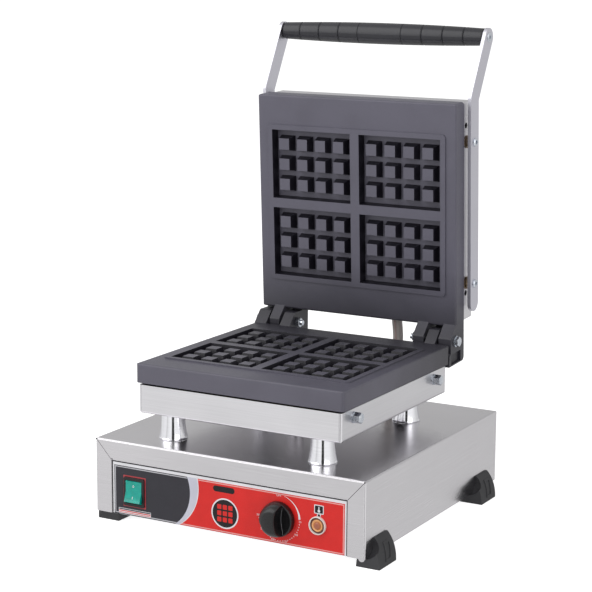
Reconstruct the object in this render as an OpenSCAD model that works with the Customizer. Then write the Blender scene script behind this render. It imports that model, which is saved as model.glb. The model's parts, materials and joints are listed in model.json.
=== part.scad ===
// Commercial electric waffle maker: a square steel base, four posts, two identical waffle
// castings hinged together at the rear, and a bar handle. Stored with the lid open.
// Drawn with x across, y from the front face to the rear and z up from the base box.

/* [Base] */
// Width of the steel base, side to side
base_w = 322; // [260:1:400]
// Depth of the steel base, front to rear
base_d = 322; // [318:1:400]
// Height of the steel base, without its feet
base_h = 80; // [72:1:110]
// Thickness of the folded steel sheet
sheet = 1.2; // [0.8:0.1:1.5]
// Outer radius of the sheet's bends
bend_r = 2.2; // [1.8:0.1:3]
// Width of the front frame round the control panel
frame_w = 20; // [12:1:24]
// Depth of the seams where the frame's corners meet
seam = 0.4; // [0.2:0.1:0.6]

/* [Feet] */
// Height of the feet below the base
foot_h = 8; // [6:1:12]
// Length of a foot along the side of the base
foot_len = 37; // [30:1:50]
// Width of a foot
foot_w = 26; // [22:1:34]
// How far a right foot stands out from the side wall
foot_out = 16; // [10:1:18]
// Height of a right foot's upstand on the side wall
foot_up = 18; // [15:1:24]
// How far an upstand's rear end leans back over its height
foot_lean = 9; // [0:1:18]
// Radius of the hollow in a right foot's front end, beside the wall
foot_scoop = 13.5; // [8:0.5:14]
// Height of the raised frame on a right foot
foot_rim = 0.8; // [0.4:0.1:1.2]

/* [Control panel] */
// Thickness of the panel sheet
panel_t = 1.5; // [1:0.1:2]
// Thickness of the printed foil
foil_t = 0.3; // [0.2:0.1:0.5]
// Height of the switch, knob and lamp row above the base's lower edge
control_z = 26.7; // [22:0.1:32]
// Switch centre from the left edge of the panel opening
switch_in = 28.7; // [20:0.1:60]
// Knob centre from the right edge of the panel opening
knob_in = 78; // [60:0.1:90]
// Lamp centre from the right edge of the panel opening
lamp_in = 33.4; // [20:0.1:44]

/* [Rocker switch] */
// Width of the switch bezel
bezel_w = 25.5; // [24:0.1:28]
// Height of the switch bezel
bezel_h = 31; // [30:0.1:34]
// How far the bezel stands in front of the foil
bezel_t = 2; // [1:0.1:3]
// Width of the rocker
rocker_w = 19.5; // [15:0.1:20]
// Radius of the rocker's ends about its pivot
rocker_r = 12.3; // [10:0.1:12.6]
// Swing of the rocker from OFF to ON, in degrees
rocker_swing = 20; // [14:1:24]

/* [Thermostat knob] */
// Radius of the knob's skirt
knob_r = 18.2; // [16:0.1:21]
// Height of the knob in front of the foil
knob_h = 18.5; // [16:0.5:26]
// Thickness of the skirt at its rim
skirt_t = 6; // [4.5:0.1:7]
// Width of the skirt's raised rim
rim_w = 2; // [1.5:0.1:4]
// Width of the grip bar at its ends
bar_end_w = 21; // [18:0.5:22]
// Width of the grip bar at its waist
bar_waist = 14; // [11:0.5:16]
// Radius of the hollows in the bar's sides
bar_hollow = 34; // [28:1:45]
// Turn of the bar at the OFF stop, anticlockwise from upright, in degrees
knob_rest = 7; // [0:1:20]
// Radius of the thermostat's shaft
shaft_r = 3; // [2.5:0.1:4]

/* [Posts] */
// Height of the posts between base and tray
post_h = 26.8; // [20:0.1:45]
// Radius of a post at its top
post_r = 12; // [9:0.1:14]
// Radius of a post's foot flange
post_flange_r = 15.5; // [14.6:0.1:18]
// Posts left and right of the centre
post_x = 90; // [60:1:100]
// Front posts behind the front face
post_front = 42; // [40:1:60]
// Rear posts behind the front face
post_rear = 234; // [180:1:240]

/* [Waffle castings] */
// Width of a casting
plate_w = 248; // [240:1:300]
// Depth of a casting
plate_d = 248.5; // [246:0.5:300]
// Thickness of a casting from its face to its back
plate_t = 20.9; // [19:0.1:26]
// Front edge of the lower casting behind the base's front face
plate_front = 22; // [10:1:40]
// Rounding of the casting's upright corners
plate_corner = 4; // [3:0.5:8]
// Rounding of the casting's face edges
plate_edge = 2.5; // [1:0.5:3]
// Height of the raised baking field above the face
pad_rise = 1.5; // [1:0.1:2]
// Gap between the two baking fields when the lid is closed
pad_gap = 0.6; // [0.4:0.1:1.2]
// Border of the casting beside the baking field
pad_side = 12.7; // [9:0.1:16]
// Edge of the baking field nearest the hinge, from the hinge axis
pad_near = 49.3; // [46:0.1:52]
// Depth of the baking field, front to rear
pad_d = 180.4; // [176:0.1:190]
// Width of one waffle cavity at its mouth
cavity_w = 100; // [92:0.5:102]
// Depth of one waffle cavity at its mouth, front to rear
cavity_d = 79; // [76:0.5:82]
// Width of the rib between two cavities
cavity_rib = 11; // [8:0.5:12]
// How deep a cavity is
cavity_deep = 11.5; // [9:0.5:13]
// How far a cavity's wall leans in over its depth
wall_draft = 1.2; // [0.6:0.1:1.6]
// Studs across a cavity
studs_x = 4; // [3:1:4]
// Studs along a cavity
studs_y = 3; // [2:1:3]
// Distance from stud to stud
stud_pitch = 23.2; // [21:0.1:24]
// Width of a stud's flat top
stud_top = 13; // [9:0.1:14]
// How far a stud's side leans out over its height
stud_draft = 2.5; // [1.5:0.1:3]
// How far a stud's top lies below the baking field
stud_drop = 0.5; // [0:0.1:1]

/* [Hinge] */
// Hinge axis behind the castings' rear edge
axis_behind = 15; // [14:0.5:18]
// How far the lid opens, in degrees
lid_open = 87; // [60:1:88]
// Width of the outer lug
lug_outer = 15; // [12:0.5:18]
// Width of the middle lug
lug_mid = 12.5; // [10:0.5:15]
// Width of the inner lug
lug_inner = 13; // [10:0.5:16]
// Gap between the outer and the middle lug
lug_gap_out = 2; // [1:0.1:3]
// Gap between the middle and the inner lug
lug_gap_in = 4; // [2:0.1:6]
// How far a lug reaches past the face's plane round the axis
lug_round = 12; // [10:0.5:13]
// How far a lug's tail reaches behind the axis
lug_tail = 26.5; // [22:0.5:30]
// Radius of the hinge bolts
hinge_r = 3; // [2.5:0.1:4]

/* [Tray and cover] */
// How much narrower than the casting the tray and cover are
box_inset = 6; // [4:0.5:12]
// How much shorter than the casting the tray and cover are
box_short = 2.5; // [2:0.5:8]
// Height of the lower heater tray
tray_h = 30.8; // [29:0.1:40]
// Gap between the lower casting and its tray
tray_gap = 2.2; // [1:0.1:4]
// Height of the upper cover
cover_h = 28; // [27:0.1:40]
// Gap between the upper casting and its cover
cover_gap = 1.3; // [1:0.1:4]
// Outer radius of the tray's and cover's bent edges
box_bend = 3; // [2:0.5:5]

/* [Heaters] */
// Radius of the tubular heating element
element_r = 4; // [3:0.1:4.5]
// Distance between two legs of the element
element_pitch = 50; // [44:1:56]
// Length of the element's straight legs
element_leg = 130; // [100:1:150]
// Thickness of the element's clamp plate
clamp_t = 2; // [1.5:0.1:3]

/* [Lid handle] */
// Thickness of the arms' flat bar
arm_t = 4; // [3:0.1:6]
// Width of the arms' flat bar
arm_w = 20.5; // [18:0.1:24]
// Gap between the cover's wall and an arm
arm_gap = 6; // [4:0.1:10]
// Height of the arms' centre line above the hinge axis, lid closed
arm_n = 35.6; // [34:0.1:44]
// Lower end of the arms from the hinge axis
arm_start = 27.4; // [22:0.1:40]
// Bend of the arms from the hinge axis
arm_bend_s = 265.8; // [250:0.1:300]
// Angle of the bend
arm_bend = 31.1; // [10:0.1:45]
// Length of the arms from the bend to the grip
arm_reach = 73.6; // [60:0.1:100]
// First arm screw from the hinge axis
arm_screw_a = 59; // [50:1:80]
// Second arm screw from the hinge axis
arm_screw_b = 218; // [180:1:230]
// Radius of the grip at its ends
grip_end_r = 9.5; // [8:0.1:11]
// Radius of the grip in its middle
grip_mid_r = 12; // [10:0.1:15]
// Depth of the grip's turned grooves
groove = 1.2; // [0.5:0.1:2]

/* [Conduit] */
// Radius of the conduit that carries the lid's wires
conduit_r = 6; // [4:0.1:7]

/* [Hidden] */
$fn = 48;
fit = 0.1;      // radial clearance of a screw in its hole
run = 0.05;     // radial clearance of a turning fit
rest_gap = 0.3; // clearance between pieces that only lie beside each other

// the lower casting's height follows from what it stands on
axis_y = plate_front + plate_d + axis_behind;
axis_z = base_h + post_h + tray_h + tray_gap + plate_t + pad_rise + pad_gap/2;
face_n = pad_rise + pad_gap/2;          // casting's face from the axis plane
back_n = face_n + plate_t;              // casting's back from the axis plane
pad_n = pad_gap/2;                      // baking field from the axis plane
box_w = plate_w - box_inset;
box_d = plate_d - box_short;
box_mid = axis_behind + plate_d/2;      // middle of tray and cover from the axis
pad_w = plate_w - 2*pad_side;
pad_mid = pad_near + pad_d/2;
arm_in = box_w/2 + arm_gap;             // inner face of an arm
grip_s = arm_bend_s + arm_reach*cos(arm_bend);
grip_n = arm_n + arm_reach*sin(arm_bend);

// ribs on a casting's back that the tray, cover and arms are bolted to
rib_out = box_w/2 - sheet - rest_gap;
rib_t = 12.5;
rib_n = arm_n + 6;
bolt_n = 33.9;                          // tray bolts from the axis plane
bolt_near = 47.5;                       // rear tray bolts from the axis
bolt_far = bolt_near + 188.5;           // front tray bolts from the axis
m6 = 3;
m8 = 4;

// panel opening and the places on it
open_w = base_w - 2*frame_w;
open_h = base_h - frame_w;
foil_y = sheet - foil_t;                // front of the foil
panel_back = sheet + panel_t;
switch_x = -open_w/2 + switch_in;
knob_x = open_w/2 - knob_in;
lamp_x = open_w/2 - lamp_in;
lamp_r = 9.4;
lamp_body_r = 6.4;
switch_body_w = 22;
switch_body_h = 28;
switch_deep = 20;
pivot_in = 1;                           // rocker pivot behind the foil
hub_r = 5;
thermo_w = 40;
thermo_h = 34;
thermo_d = 28;

// the row's origin: middle of the object's outline, on the floor
grip_y = axis_y - grip_s*cos(lid_open) + grip_n*sin(lid_open);
origin_x = foot_out/2;
origin_y = (foil_y - knob_h + grip_y + grip_mid_r)/2;

// lid wiring sleeve: hand-set route from inside the base to the cover's rear wall
conduit_x = 33;
conduit_y = 304;
conduit_n = 38;
conduit_route = [
    [33, 304, 38], [33, 304, 60], [33, 304, 80], [33, 304, 94], [33, 307, 108], [33, 314, 121],
    [33, 322, 133], [33, 327, 146], [33, 326, 159], [33, 323.6, 171], [33, 322.7, 182], [33, 322.7, 188]
];

// ---------- placing ----------

// from the base's own frame to the row's
module row_frame() translate([-origin_x, -origin_y, foot_h]) children();

// hinge frame: x along the axis, -y towards the front, z up
module at_axis() row_frame() translate([0, axis_y, axis_z]) children();

// what is drawn for the closed lid, turned open about the axis
module on_lid() at_axis() rotate([-lid_open, 0, 0]) children();

// the lower heater set is the upper one turned over about y
module below() at_axis() rotate([0, 180, 0]) children();

module scale_x(side) { if (side < 0) mirror([1, 0, 0]) children(); else children(); }

// extrudes an x-z outline along y, or a y-z outline along x
module along_y(len) rotate([90, 0, 0]) linear_extrude(len, center = true) children();
module along_x(len) rotate([90, 0, 90]) linear_extrude(len, center = true) children();

// ---------- shared shapes ----------

// rectangle about the origin with all corners round
module round_rect(w, h, r) {
    square([w - 2*r, h], center = true);
    square([w, h - 2*r], center = true);
    for (x = [-1, 1], y = [-1, 1]) translate([x*(w/2 - r), y*(h/2 - r)]) circle(r);
}

// rectangle standing on y = 0 with its two lower corners round
module soft_foot(w, h, r) {
    translate([-w/2, r]) square([w, h - r]);
    translate([r - w/2, 0]) square([w - 2*r, h]);
    for (x = [-1, 1]) translate([x*(w/2 - r), r]) circle(r);
}

// block with its upright corners and its lower edges round
module soft_block(w, d, h, corner, edge) intersection() {
    linear_extrude(h) round_rect(w, d, corner);
    along_y(d) soft_foot(w, h, edge);
    along_x(w) soft_foot(d, h, edge);
}

// open box of bent sheet, closed at z = 0, with relief holes where three bends meet
module sheet_box(w, d, h, r) difference() {
    soft_block(w, d, h, r, r);
    translate([0, 0, sheet]) soft_block(w - 2*sheet, d - 2*sheet, h, r - sheet, r - sheet);
    off = r*round_off;
    for (x = [-1, 1], y = [-1, 1]) translate([x*(w/2 - off), y*(d/2 - off), off]) sphere(relief_r);
}
relief_r = 1;
round_off = 1 - sqrt(0.5);              // where the three bends of radius 1 meet, from the corner

module hexagon(across, h) cylinder(r = across/sqrt(3), h = h, $fn = 6);

// hexagon with its upper corners turned off
module hex_head(across, h) intersection() {
    corner_r = across/sqrt(3);
    bevel = 0.8;
    hexagon(across, h);
    union() {
        cylinder(r = corner_r + fit, h = h - bevel);
        translate([0, 0, h - bevel]) cylinder(r1 = corner_r + fit, r2 = across/2 - 0.4, h = bevel);
    }
}

// pan-head screw pointing to -z, its head standing on z = 0
module pan_screw(r, len, head_r, head_h) {
    translate([0, 0, -len]) cylinder(r = r, h = len);
    cylinder(r1 = head_r, r2 = head_r*0.8, h = head_h);
}

// the same with a flat head and a hexagon socket
module socket_screw(r, len, head_r, head_h, socket) difference() {
    union() {
        translate([0, 0, -len]) cylinder(r = r, h = len);
        cylinder(r = head_r, h = head_h/2);
        translate([0, 0, head_h/2]) cylinder(r1 = head_r, r2 = head_r - head_h/2, h = head_h/2);
    }
    translate([0, 0, head_h - socket/2]) hexagon(socket, socket);
}

// ---------- base ----------

module post_places() for (x = [-post_x, post_x], y = [post_front, post_rear]) translate([x, y, 0]) children();

// groove along the 45 degree seam of a front corner
module corner_seam() translate([base_w/2, 0, base_h]) rotate([0, 45, 0])
    translate([-2*frame_w, -seam, -seam/2]) cube([2*frame_w - seam, 2*seam, seam]);

module base_solid(inset) translate([0, base_d/2, base_h - inset]) mirror([0, 0, 1])
    soft_block(base_w - 2*inset, base_d - 2*inset, base_h, bend_r - inset, bend_r - inset);

module base_shell() row_frame() color("silver") difference() {
    intersection() {
        base_solid(0);
        translate([0, base_d/2, base_h/2]) cube([base_w + 2, base_d + 2, base_h], center = true);
    }
    base_solid(sheet);
    translate([-open_w/2, -1, -1]) cube([open_w, sheet + 2, open_h + 1]);
    for (side = [-1, 1]) scale_x(side) {
        corner_seam();
        translate([base_w/2, 0, base_h] + bend_r*round_off*[-1, 1, -1]) sphere(relief_r);
    }
    post_places() cylinder(r = m8 + fit, h = base_h + 1);
    translate([0, box_y(), 0]) cylinder(r = sleeve_r + fit, h = base_h + 1);
    translate([conduit_x, conduit_y, 0]) cylinder(r = gland_neck + fit, h = base_h + 1);
    translate([gland_x, base_d + 1, gland_z]) rotate([90, 0, 0]) cylinder(r = gland_neck + fit, h = 8);
}

module control_panel() row_frame() color("silver") difference() {
    panel_w = open_w + frame_w;
    panel_h = open_h + frame_w/2;
    translate([-panel_w/2, sheet, 0]) cube([panel_w, panel_t, panel_h]);
    panel_holes();
}

module panel_foil() row_frame() color("crimson") difference() {
    edge = 0.5;
    translate([-open_w/2 + edge, foil_y, edge]) cube([open_w - 2*edge, foil_t, open_h - 2.6]);
    panel_holes();
}

// openings for the switch, the thermostat and the lamp
module panel_holes() {
    hole_d = 10;
    translate([switch_x, 0, control_z])
        cube([switch_body_w + 2*fit, hole_d, switch_body_h + 2*fit], center = true);
    on_panel(knob_x) cylinder(r = hub_r + fit, h = hole_d, center = true);
    on_panel(knob_x) thermo_screw_places() cylinder(r = 2 + fit, h = hole_d, center = true);
    on_panel(lamp_x) cylinder(r = lamp_body_r + fit, h = hole_d, center = true);
}

// face of the foil: x to the right, y up, z towards the user
module on_panel(x) translate([x, foil_y, control_z]) rotate([90, 0, 0]) children();

pan_lip = 8;
pan_gap = 0.2;
module bottom_pan() row_frame() color("gainsboro") difference() {
    pan_w = base_w - 2*sheet - 2*pan_gap;
    pan_y = panel_back + pan_gap;
    pan_d = base_d - sheet - pan_gap - pan_y;
    translate([-pan_w/2, pan_y, 0]) cube([pan_w, pan_d, pan_lip]);
    translate([sheet - pan_w/2, pan_y + sheet, sheet])
        cube([pan_w - 2*sheet, pan_d - 2*sheet, pan_lip]);
    for (i = [-3:3], side = [-1, 1])
        translate([side*60 + i*12 - 2, base_d/2 - 30, -1]) cube([4, 60, sheet + 2]);
    all_foot_screws() cylinder(r = 2 + fit, h = 20, center = true);
}

// ---------- feet ----------

foot_rear = 248;                        // front tip of the rear feet
right_foot_x = base_w/2 + foot_out - foot_w;
left_foot_x = -base_w/2 + 2.7;
screw_pitch = 20;
screw_head_r = 3.4;
head_sink = 3;

module foot_screw_pair(y) for (k = [-0.5, 0.5]) translate([0, y + foot_len/2 + k*screw_pitch, 0]) children();
module all_foot_screws() for (y = [0, foot_rear]) {
    translate([base_w/2 - sheet - 4.5, 0, 0]) foot_screw_pair(y) children();
    translate([left_foot_x + foot_w/2, 0, 0]) foot_screw_pair(y) children();
}

foot_step = -0.05;                      // top of the treads, just clear of the base
foot_wall = base_w/2 + 0.1;             // inside of an upstand, just clear of the side wall
foot_top_t = 1.5;                       // thickness of an upstand at its top
bulge_r = 40;

// a right foot's section seen from the front, its bulge grown outwards
module foot_section(grow) {
    span = foot_up + foot_h;
    lean = atan2(foot_out - foot_top_t, span);
    chord = norm([foot_out - foot_top_t, span]);
    mid = [foot_wall + (foot_out + foot_top_t)/2, (foot_up - foot_h)/2];
    intersection() {
        difference() {
            translate([right_foot_x, -foot_h]) square([2*foot_w, span]);
            translate([0, foot_step]) square([foot_wall, span]);
        }
        translate(mid - sqrt(bulge_r*bulge_r - chord*chord/4)*[cos(lean), sin(lean)])
            circle(bulge_r + grow, $fn = 96);
    }
}

// what lies both in that section and in an outline seen from the side
module foot_part(grow) intersection() {
    along_y(4*foot_len) foot_section(grow);
    translate([base_w/2, 0, 0]) along_x(4*foot_w) children();
}

module foot_outline() polygon([[0, -foot_h], [foot_len, -foot_h], [foot_len + foot_lean, foot_up], [6, foot_up]]);

// leaning rectangle on a foot's outside, drawn smaller by an inset
module lean_frame(inset) {
    front = 15;
    width = 12;
    low = -3.5;
    high = 13;
    polygon([[front + inset, low + inset], [front + width - inset, low + inset],
             [front + width + foot_lean - inset, high - inset], [front + foot_lean + inset, high - inset]]);
}

// right foot: a tread under the edge and a bulging upstand against the side wall, its front
// end hollowed and a raised frame on its outside
module right_foot(y) translate([0, y, 0]) difference() {
    frame_line = 1.8;
    union() {
        foot_part(0) foot_outline();
        foot_part(foot_rim) difference() {
            lean_frame(0);
            lean_frame(frame_line);
        }
    }
    translate([foot_wall - 1, 4, foot_step + foot_scoop]) {
        sphere(foot_scoop);
        cylinder(r = foot_scoop, h = 2*foot_up);
    }
    translate([base_w/2 - sheet - 4.5, 0, 0]) foot_screw_pair(0) foot_bore();
}

// screw hole of a foot, its head sunk from below
module foot_bore() translate([0, 0, -foot_h - 1]) {
    cylinder(r = 2 + fit, h = 2*foot_h);
    cylinder(r = screw_head_r + rest_gap, h = head_sink + 1);
}

// left foot: a plain pad with the same tread, under the base
module left_foot(y) difference() {
    translate([left_foot_x, y, -foot_h]) cube([foot_w, foot_len, foot_h + foot_step]);
    translate([left_foot_x + foot_w/2, 0, 0]) foot_screw_pair(y) foot_bore();
}

module foot_front_right() row_frame() color("dimgray") right_foot(0);
module foot_rear_right() row_frame() color("dimgray") right_foot(foot_rear);
module foot_front_left() row_frame() color("dimgray") left_foot(0);
module foot_rear_left() row_frame() color("dimgray") left_foot(foot_rear);
module foot_screws() row_frame() color("lightgray") all_foot_screws()
    translate([0, 0, head_sink - foot_h]) mirror([0, 0, 1]) pan_screw(2, foot_h + 2, screw_head_r, 2.2);

// ---------- switch ----------

module at_pivot() translate([switch_x, foil_y + pivot_in, control_z]) children();

module switch_body() row_frame() color("black") difference() {
    union() {
        on_panel(switch_x) linear_extrude(bezel_t) round_rect(bezel_w, bezel_h, 1.5);
        translate([switch_x - switch_body_w/2, foil_y, control_z - switch_body_h/2])
            cube([switch_body_w, switch_deep, switch_body_h]);
        for (x = [-6, 6], z = [-8, 0, 8]) translate([switch_x + x - 0.4, foil_y + switch_deep - 0.1, control_z + z - 2.4])
            cube([0.8, 8, 4.8]);
    }
    well_w = rocker_w + 2*rest_gap;
    well_h = 2*rocker_r + 2*rest_gap;
    well_in = 9;
    translate([switch_x - well_w/2, foil_y - bezel_t - 1, control_z - well_h/2])
        cube([well_w, well_in + bezel_t + 1, well_h]);
    at_pivot() along_x_rod(1.5 + run, rocker_w + 2.2);
}

module along_x_rod(r, len) rotate([0, 90, 0]) cylinder(r = r, h = len, center = true);

// rocker in its rest tilt: two faces in a shallow V, round ends about the pivot
module switch_rocker() row_frame() at_pivot() rotate([-rocker_swing/2, 0, 0]) color("lightseagreen") {
    peak = 5.6;
    valley = peak - rocker_r*tan(rocker_swing/2);
    intersection() {
        along_x_rod(rocker_r, rocker_w);
        along_x(rocker_w + 1)
            polygon([[2.5, -rocker_r - 1], [2.5, rocker_r + 1], [-peak, rocker_r + 1],
                     [-valley, 0], [-peak, -rocker_r - 1]]);
    }
    along_x_rod(1.5, rocker_w + 1.8);
}

// ---------- thermostat and knob ----------

// two screws that stay inside the hollow under the knob's skirt
skirt_wall = 2;
thermo_head_r = 3.4;
thermo_at = knob_r - skirt_wall - thermo_head_r - 2*rest_gap;
module thermo_screw_places() for (x = [-thermo_at, thermo_at]) translate([x, 0, 0]) children();

module thermostat_body() row_frame() color("tan") difference() {
    union() {
        translate([knob_x - thermo_w/2, panel_back, control_z - thermo_h/2])
            cube([thermo_w, thermo_d, thermo_h]);
        on_panel(knob_x) translate([0, 0, -panel_t - foil_t - 1]) cylinder(r = hub_r, h = panel_t + foil_t + 1);
        for (x = [-12, 0, 12]) translate([knob_x + x - 3, panel_back + thermo_d - 0.1, control_z + 8])
            cube([6, 9, 0.8]);
    }
    on_panel(knob_x) translate([0, 0, -14]) cylinder(r = shaft_r + run, h = 20);
    on_panel(knob_x) thermo_screw_places() translate([0, 0, -12]) cylinder(r = 2 + fit, h = 20);
}

module thermostat_shaft() row_frame() color("lightgray") on_panel(knob_x)
    translate([0, 0, -shaft_deep]) cylinder(r = shaft_r, h = shaft_deep + knob_h - knob_roof);

module thermostat_screws() row_frame() color("lightgray") on_panel(knob_x) thermo_screw_places()
    pan_screw(2, 9, thermo_head_r, 1.6);

// skirt with a raised rim, and a bar across it with hollow sides and a pointer line
shaft_deep = 13.5;
knob_roof = 6;                          // knob's thickness over the end of its shaft
module thermostat_knob() row_frame() on_panel(knob_x) rotate([0, 0, knob_rest]) color("black") {
    lift = 0.4;
    bevel = 0.8;
    dish = 0.8;
    hollow = 2.6;
    hub_wall = 3;
    bar_r = knob_r - 0.7;
    difference() {
        union() {
            difference() {
                union() {
                    translate([0, 0, lift]) cylinder(r = knob_r, h = skirt_t - lift - bevel);
                    translate([0, 0, skirt_t - bevel]) cylinder(r1 = knob_r, r2 = knob_r - bevel, h = bevel);
                }
                translate([0, 0, skirt_t - dish]) cylinder(r = knob_r - rim_w, h = knob_h);
            }
            difference() {
                intersection() {
                    translate([0, 0, hollow]) cylinder(r = bar_r, h = knob_h);
                    along_x(bar_end_w) soft_top(2*bar_r, knob_h, 5);
                }
                for (side = [-1, 1]) translate([side*(bar_waist/2 + bar_hollow), 0, 0])
                    cylinder(r = bar_hollow, h = knob_h, $fn = 96);
            }
        }
        translate([-0.5, bar_r - 13, knob_h - 0.5]) cube([1, 14, 1]);
        // hollow under the skirt round the hub, and the shaft's blind hole
        translate([0, 0, -1]) difference() {
            cylinder(r = knob_r - skirt_wall, h = hollow + 1);
            cylinder(r = shaft_r + hub_wall, h = hollow + 3);
        }
        translate([0, 0, -1]) cylinder(r = shaft_r + run, h = knob_h - knob_roof + 1);
    }
}

// rectangle standing on y = 0 with its two upper corners round
module soft_top(w, h, r) translate([0, h]) mirror([0, 1]) soft_foot(w, h, r);

// sensing bulb of the thermostat, held against the lower casting's back
module thermostat_bulb() below() color("peru") translate([0, -box_mid, back_n + 3.1]) rotate([90, 0, 0])
    cylinder(r = 3, h = 80, center = true);

// ---------- pilot lamp ----------

module pilot_lamp_body() row_frame() on_panel(lamp_x) color("white") rotate_extrude() difference() {
    union() {
        translate([lamp_body_r - 0.9, -22]) square([0.9, 22.5]);
        translate([0, -23]) square([lamp_body_r, 1.2]);
        translate([lamp_body_r - 0.9, 0]) square([lamp_r - lamp_body_r - 0.6, 3]);
        translate([lamp_body_r - 0.9, 0]) square([lamp_r - lamp_body_r + 0.9, 1.5]);
        translate([lamp_r - 1.5, 1.5]) circle(1.5);
    }
    translate([0, 1.2]) square([6.6, 5]);
}

module pilot_lamp_lens() row_frame() on_panel(lamp_x) color("orange") rotate_extrude() difference() {
    union() {
        translate([0, -6]) square([lamp_body_r - 1, 8]);
        translate([0, 1.3]) square([6.5, 1.1]);
        translate([0, 2]) square([5.2, 1.2]);
        translate([0, 3]) square([2.8, 0.8]);
    }
    translate([0, -7]) square([3.5, 5]);
}

// ---------- wiring parts ----------

gland_x = -100;
gland_z = 28;
gland_neck = 8;
sleeve_r = 9;
function box_y() = axis_y - box_mid;

module terminal_block() row_frame() color("ivory") translate([-120, base_d - 80, sheet + 0.1]) difference() {
    cube([50, 24, 22]);
    for (i = [0:3]) translate([8 + 11.3*i, -1, 12]) {
        rotate([-90, 0, 0]) cylinder(r = 2.5, h = 26);
        translate([0, 7, 0]) cylinder(r = 2, h = 20);
        translate([0, 19, 0]) cylinder(r = 2, h = 20);
    }
}

// screwed gland: hexagon, domed nut outside, locknut inside; bored for the lead
module gland(bore, across, grip, dome) difference() {
    union() {
        hexagon(across, 5);
        translate([0, 0, 5]) cylinder(r = across/2 - 0.6, h = dome - 3);
        translate([0, 0, 2 + dome]) cylinder(r1 = across/2 - 0.6, r2 = bore + 2, h = 3);
        translate([0, 0, -sheet - grip - 4]) cylinder(r = gland_neck, h = sheet + grip + 4.1);
        translate([0, 0, -sheet - grip]) hexagon(across, grip);
    }
    translate([0, 0, -30]) cylinder(r = bore, h = 80);
}

module cable_gland() row_frame() color("black") translate([gland_x, base_d, gland_z]) rotate([-90, 0, 0])
    gland(4.5, 22, 4, 12);

module conduit_gland() row_frame() color("lightgray") translate([conduit_x, conduit_y, base_h])
    gland(conduit_r + rest_gap, 20, 4, 8);

// rubber ring in the cover's rear wall
module conduit_grommet() on_lid() color("black") translate([conduit_x, -cover_near(), conduit_n]) rotate([-90, 0, 0])
    difference() {
        union() {
            translate([0, 0, 0.05]) cylinder(r = 9.5, h = 2);
            translate([0, 0, -sheet - 0.1]) cylinder(r = gland_neck, h = sheet + 0.3);
            translate([0, 0, -sheet - 2.05]) cylinder(r = 9.5, h = 2);
        }
        translate([0, 0, -10]) cylinder(r = conduit_r + rest_gap, h = 20);
    }
function cover_near() = box_mid - box_d/2;

// tube between base and tray that the lower heater's wires run through
module wire_sleeve() row_frame() color("silver") translate([0, box_y(), base_h]) difference() {
    union() {
        translate([0, 0, -6]) cylinder(r = sleeve_r, h = post_h + 12);
        translate([0, 0, 0.05]) cylinder(r = sleeve_r + 3, h = 2);
        translate([0, 0, post_h - 2.05]) cylinder(r = sleeve_r + 3, h = 2);
    }
    translate([0, 0, -7]) cylinder(r = sleeve_r - 1.2, h = post_h + 14);
}

// a smooth line through the route's points, in equal steps from each to the next
function spline(p, i, t) = let (
    a = p[max(i - 1, 0)], b = p[i], c = p[i + 1], d = p[min(i + 2, len(p) - 1)]
) 0.5*(2*b + (c - a)*t + (2*a - 5*b + 4*c - d)*t*t + (3*b - 3*c + d - a)*t*t*t);
function smooth_line(p, steps) = concat(
    [for (i = [0:len(p) - 2], k = [0:steps - 1]) spline(p, i, k/steps)], [p[len(p) - 1]]);

// tube swept along the line; the line lies in one plane x = const
module tube(line, r, n = 12) {
    last = len(line) - 1;
    dir = [for (i = [0:last]) line[min(i + 1, last)] - line[max(i - 1, 0)]];
    rings = [for (i = [0:last]) let (v = cross([1, 0, 0], dir[i]/norm(dir[i])))
        for (k = [0:n - 1]) line[i] + r*(cos(360*k/n)*[1, 0, 0] + sin(360*k/n)*v)];
    walls = [for (i = [0:last - 1], k = [0:n - 1]) let (a = i*n + k, b = i*n + (k + 1)%n) each
        [[a, a + n, b + n], [a, b + n, b]]];
    ends = [[for (k = [0:n - 1]) k], [for (k = [n - 1:-1:0]) last*n + k]];
    polyhedron(rings, concat(walls, ends));
}

module conduit() row_frame() color("lightgray") tube(smooth_line(conduit_route, 3), conduit_r);

// ---------- posts ----------

// turned post: flange, concave flare and a slightly tapered shaft
module post(x, y) row_frame() translate([x, y, base_h]) color("gainsboro") {
    flare = 2.8;
    lip = 1.5;
    foot_r = post_r + 0.5;
    rotate_extrude() difference() {
        union() {
            polygon([[0, 0], [foot_r, 0], [post_r, post_h], [0, post_h]]);
            square([post_flange_r, lip + flare]);
        }
        translate([foot_r + flare, lip + flare]) circle(flare);
        translate([-1, -1]) square([m8 + fit + 1, post_h + 2]);
    }
}
module post_front_left() post(-post_x, post_front);
module post_front_right() post(post_x, post_front);
module post_rear_left() post(-post_x, post_rear);
module post_rear_right() post(post_x, post_rear);

module post_bolts() row_frame() color("lightgray") post_places() translate([0, 0, base_h + post_h + sheet]) {
    cylinder(r = 8, h = 1.6);
    translate([0, 0, 1.5]) hexagon(13, 5.3);
    translate([0, 0, -post_h - 2*sheet - 10]) cylinder(r = m8, h = post_h + 2*sheet + 11);
}

module post_nuts() row_frame() color("lightgray") post_places() translate([0, 0, base_h - sheet]) difference() {
    union() {
        translate([0, 0, -1.6]) cylinder(r = 8, h = 1.6);
        translate([0, 0, -8]) hexagon(13, 6.5);
    }
    translate([0, 0, -10]) cylinder(r = m8 + fit, h = 11);
}

// ---------- waffle casting, drawn as the upper one with the lid closed ----------

// how far a lug's heel reaches below the axis plane at a distance behind the axis, so that
// it stands flat against the other casting's rear edge when the lid is open
function heel_n(back) = -(axis_behind - rest_gap + back*cos(lid_open))/sin(lid_open);

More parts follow.
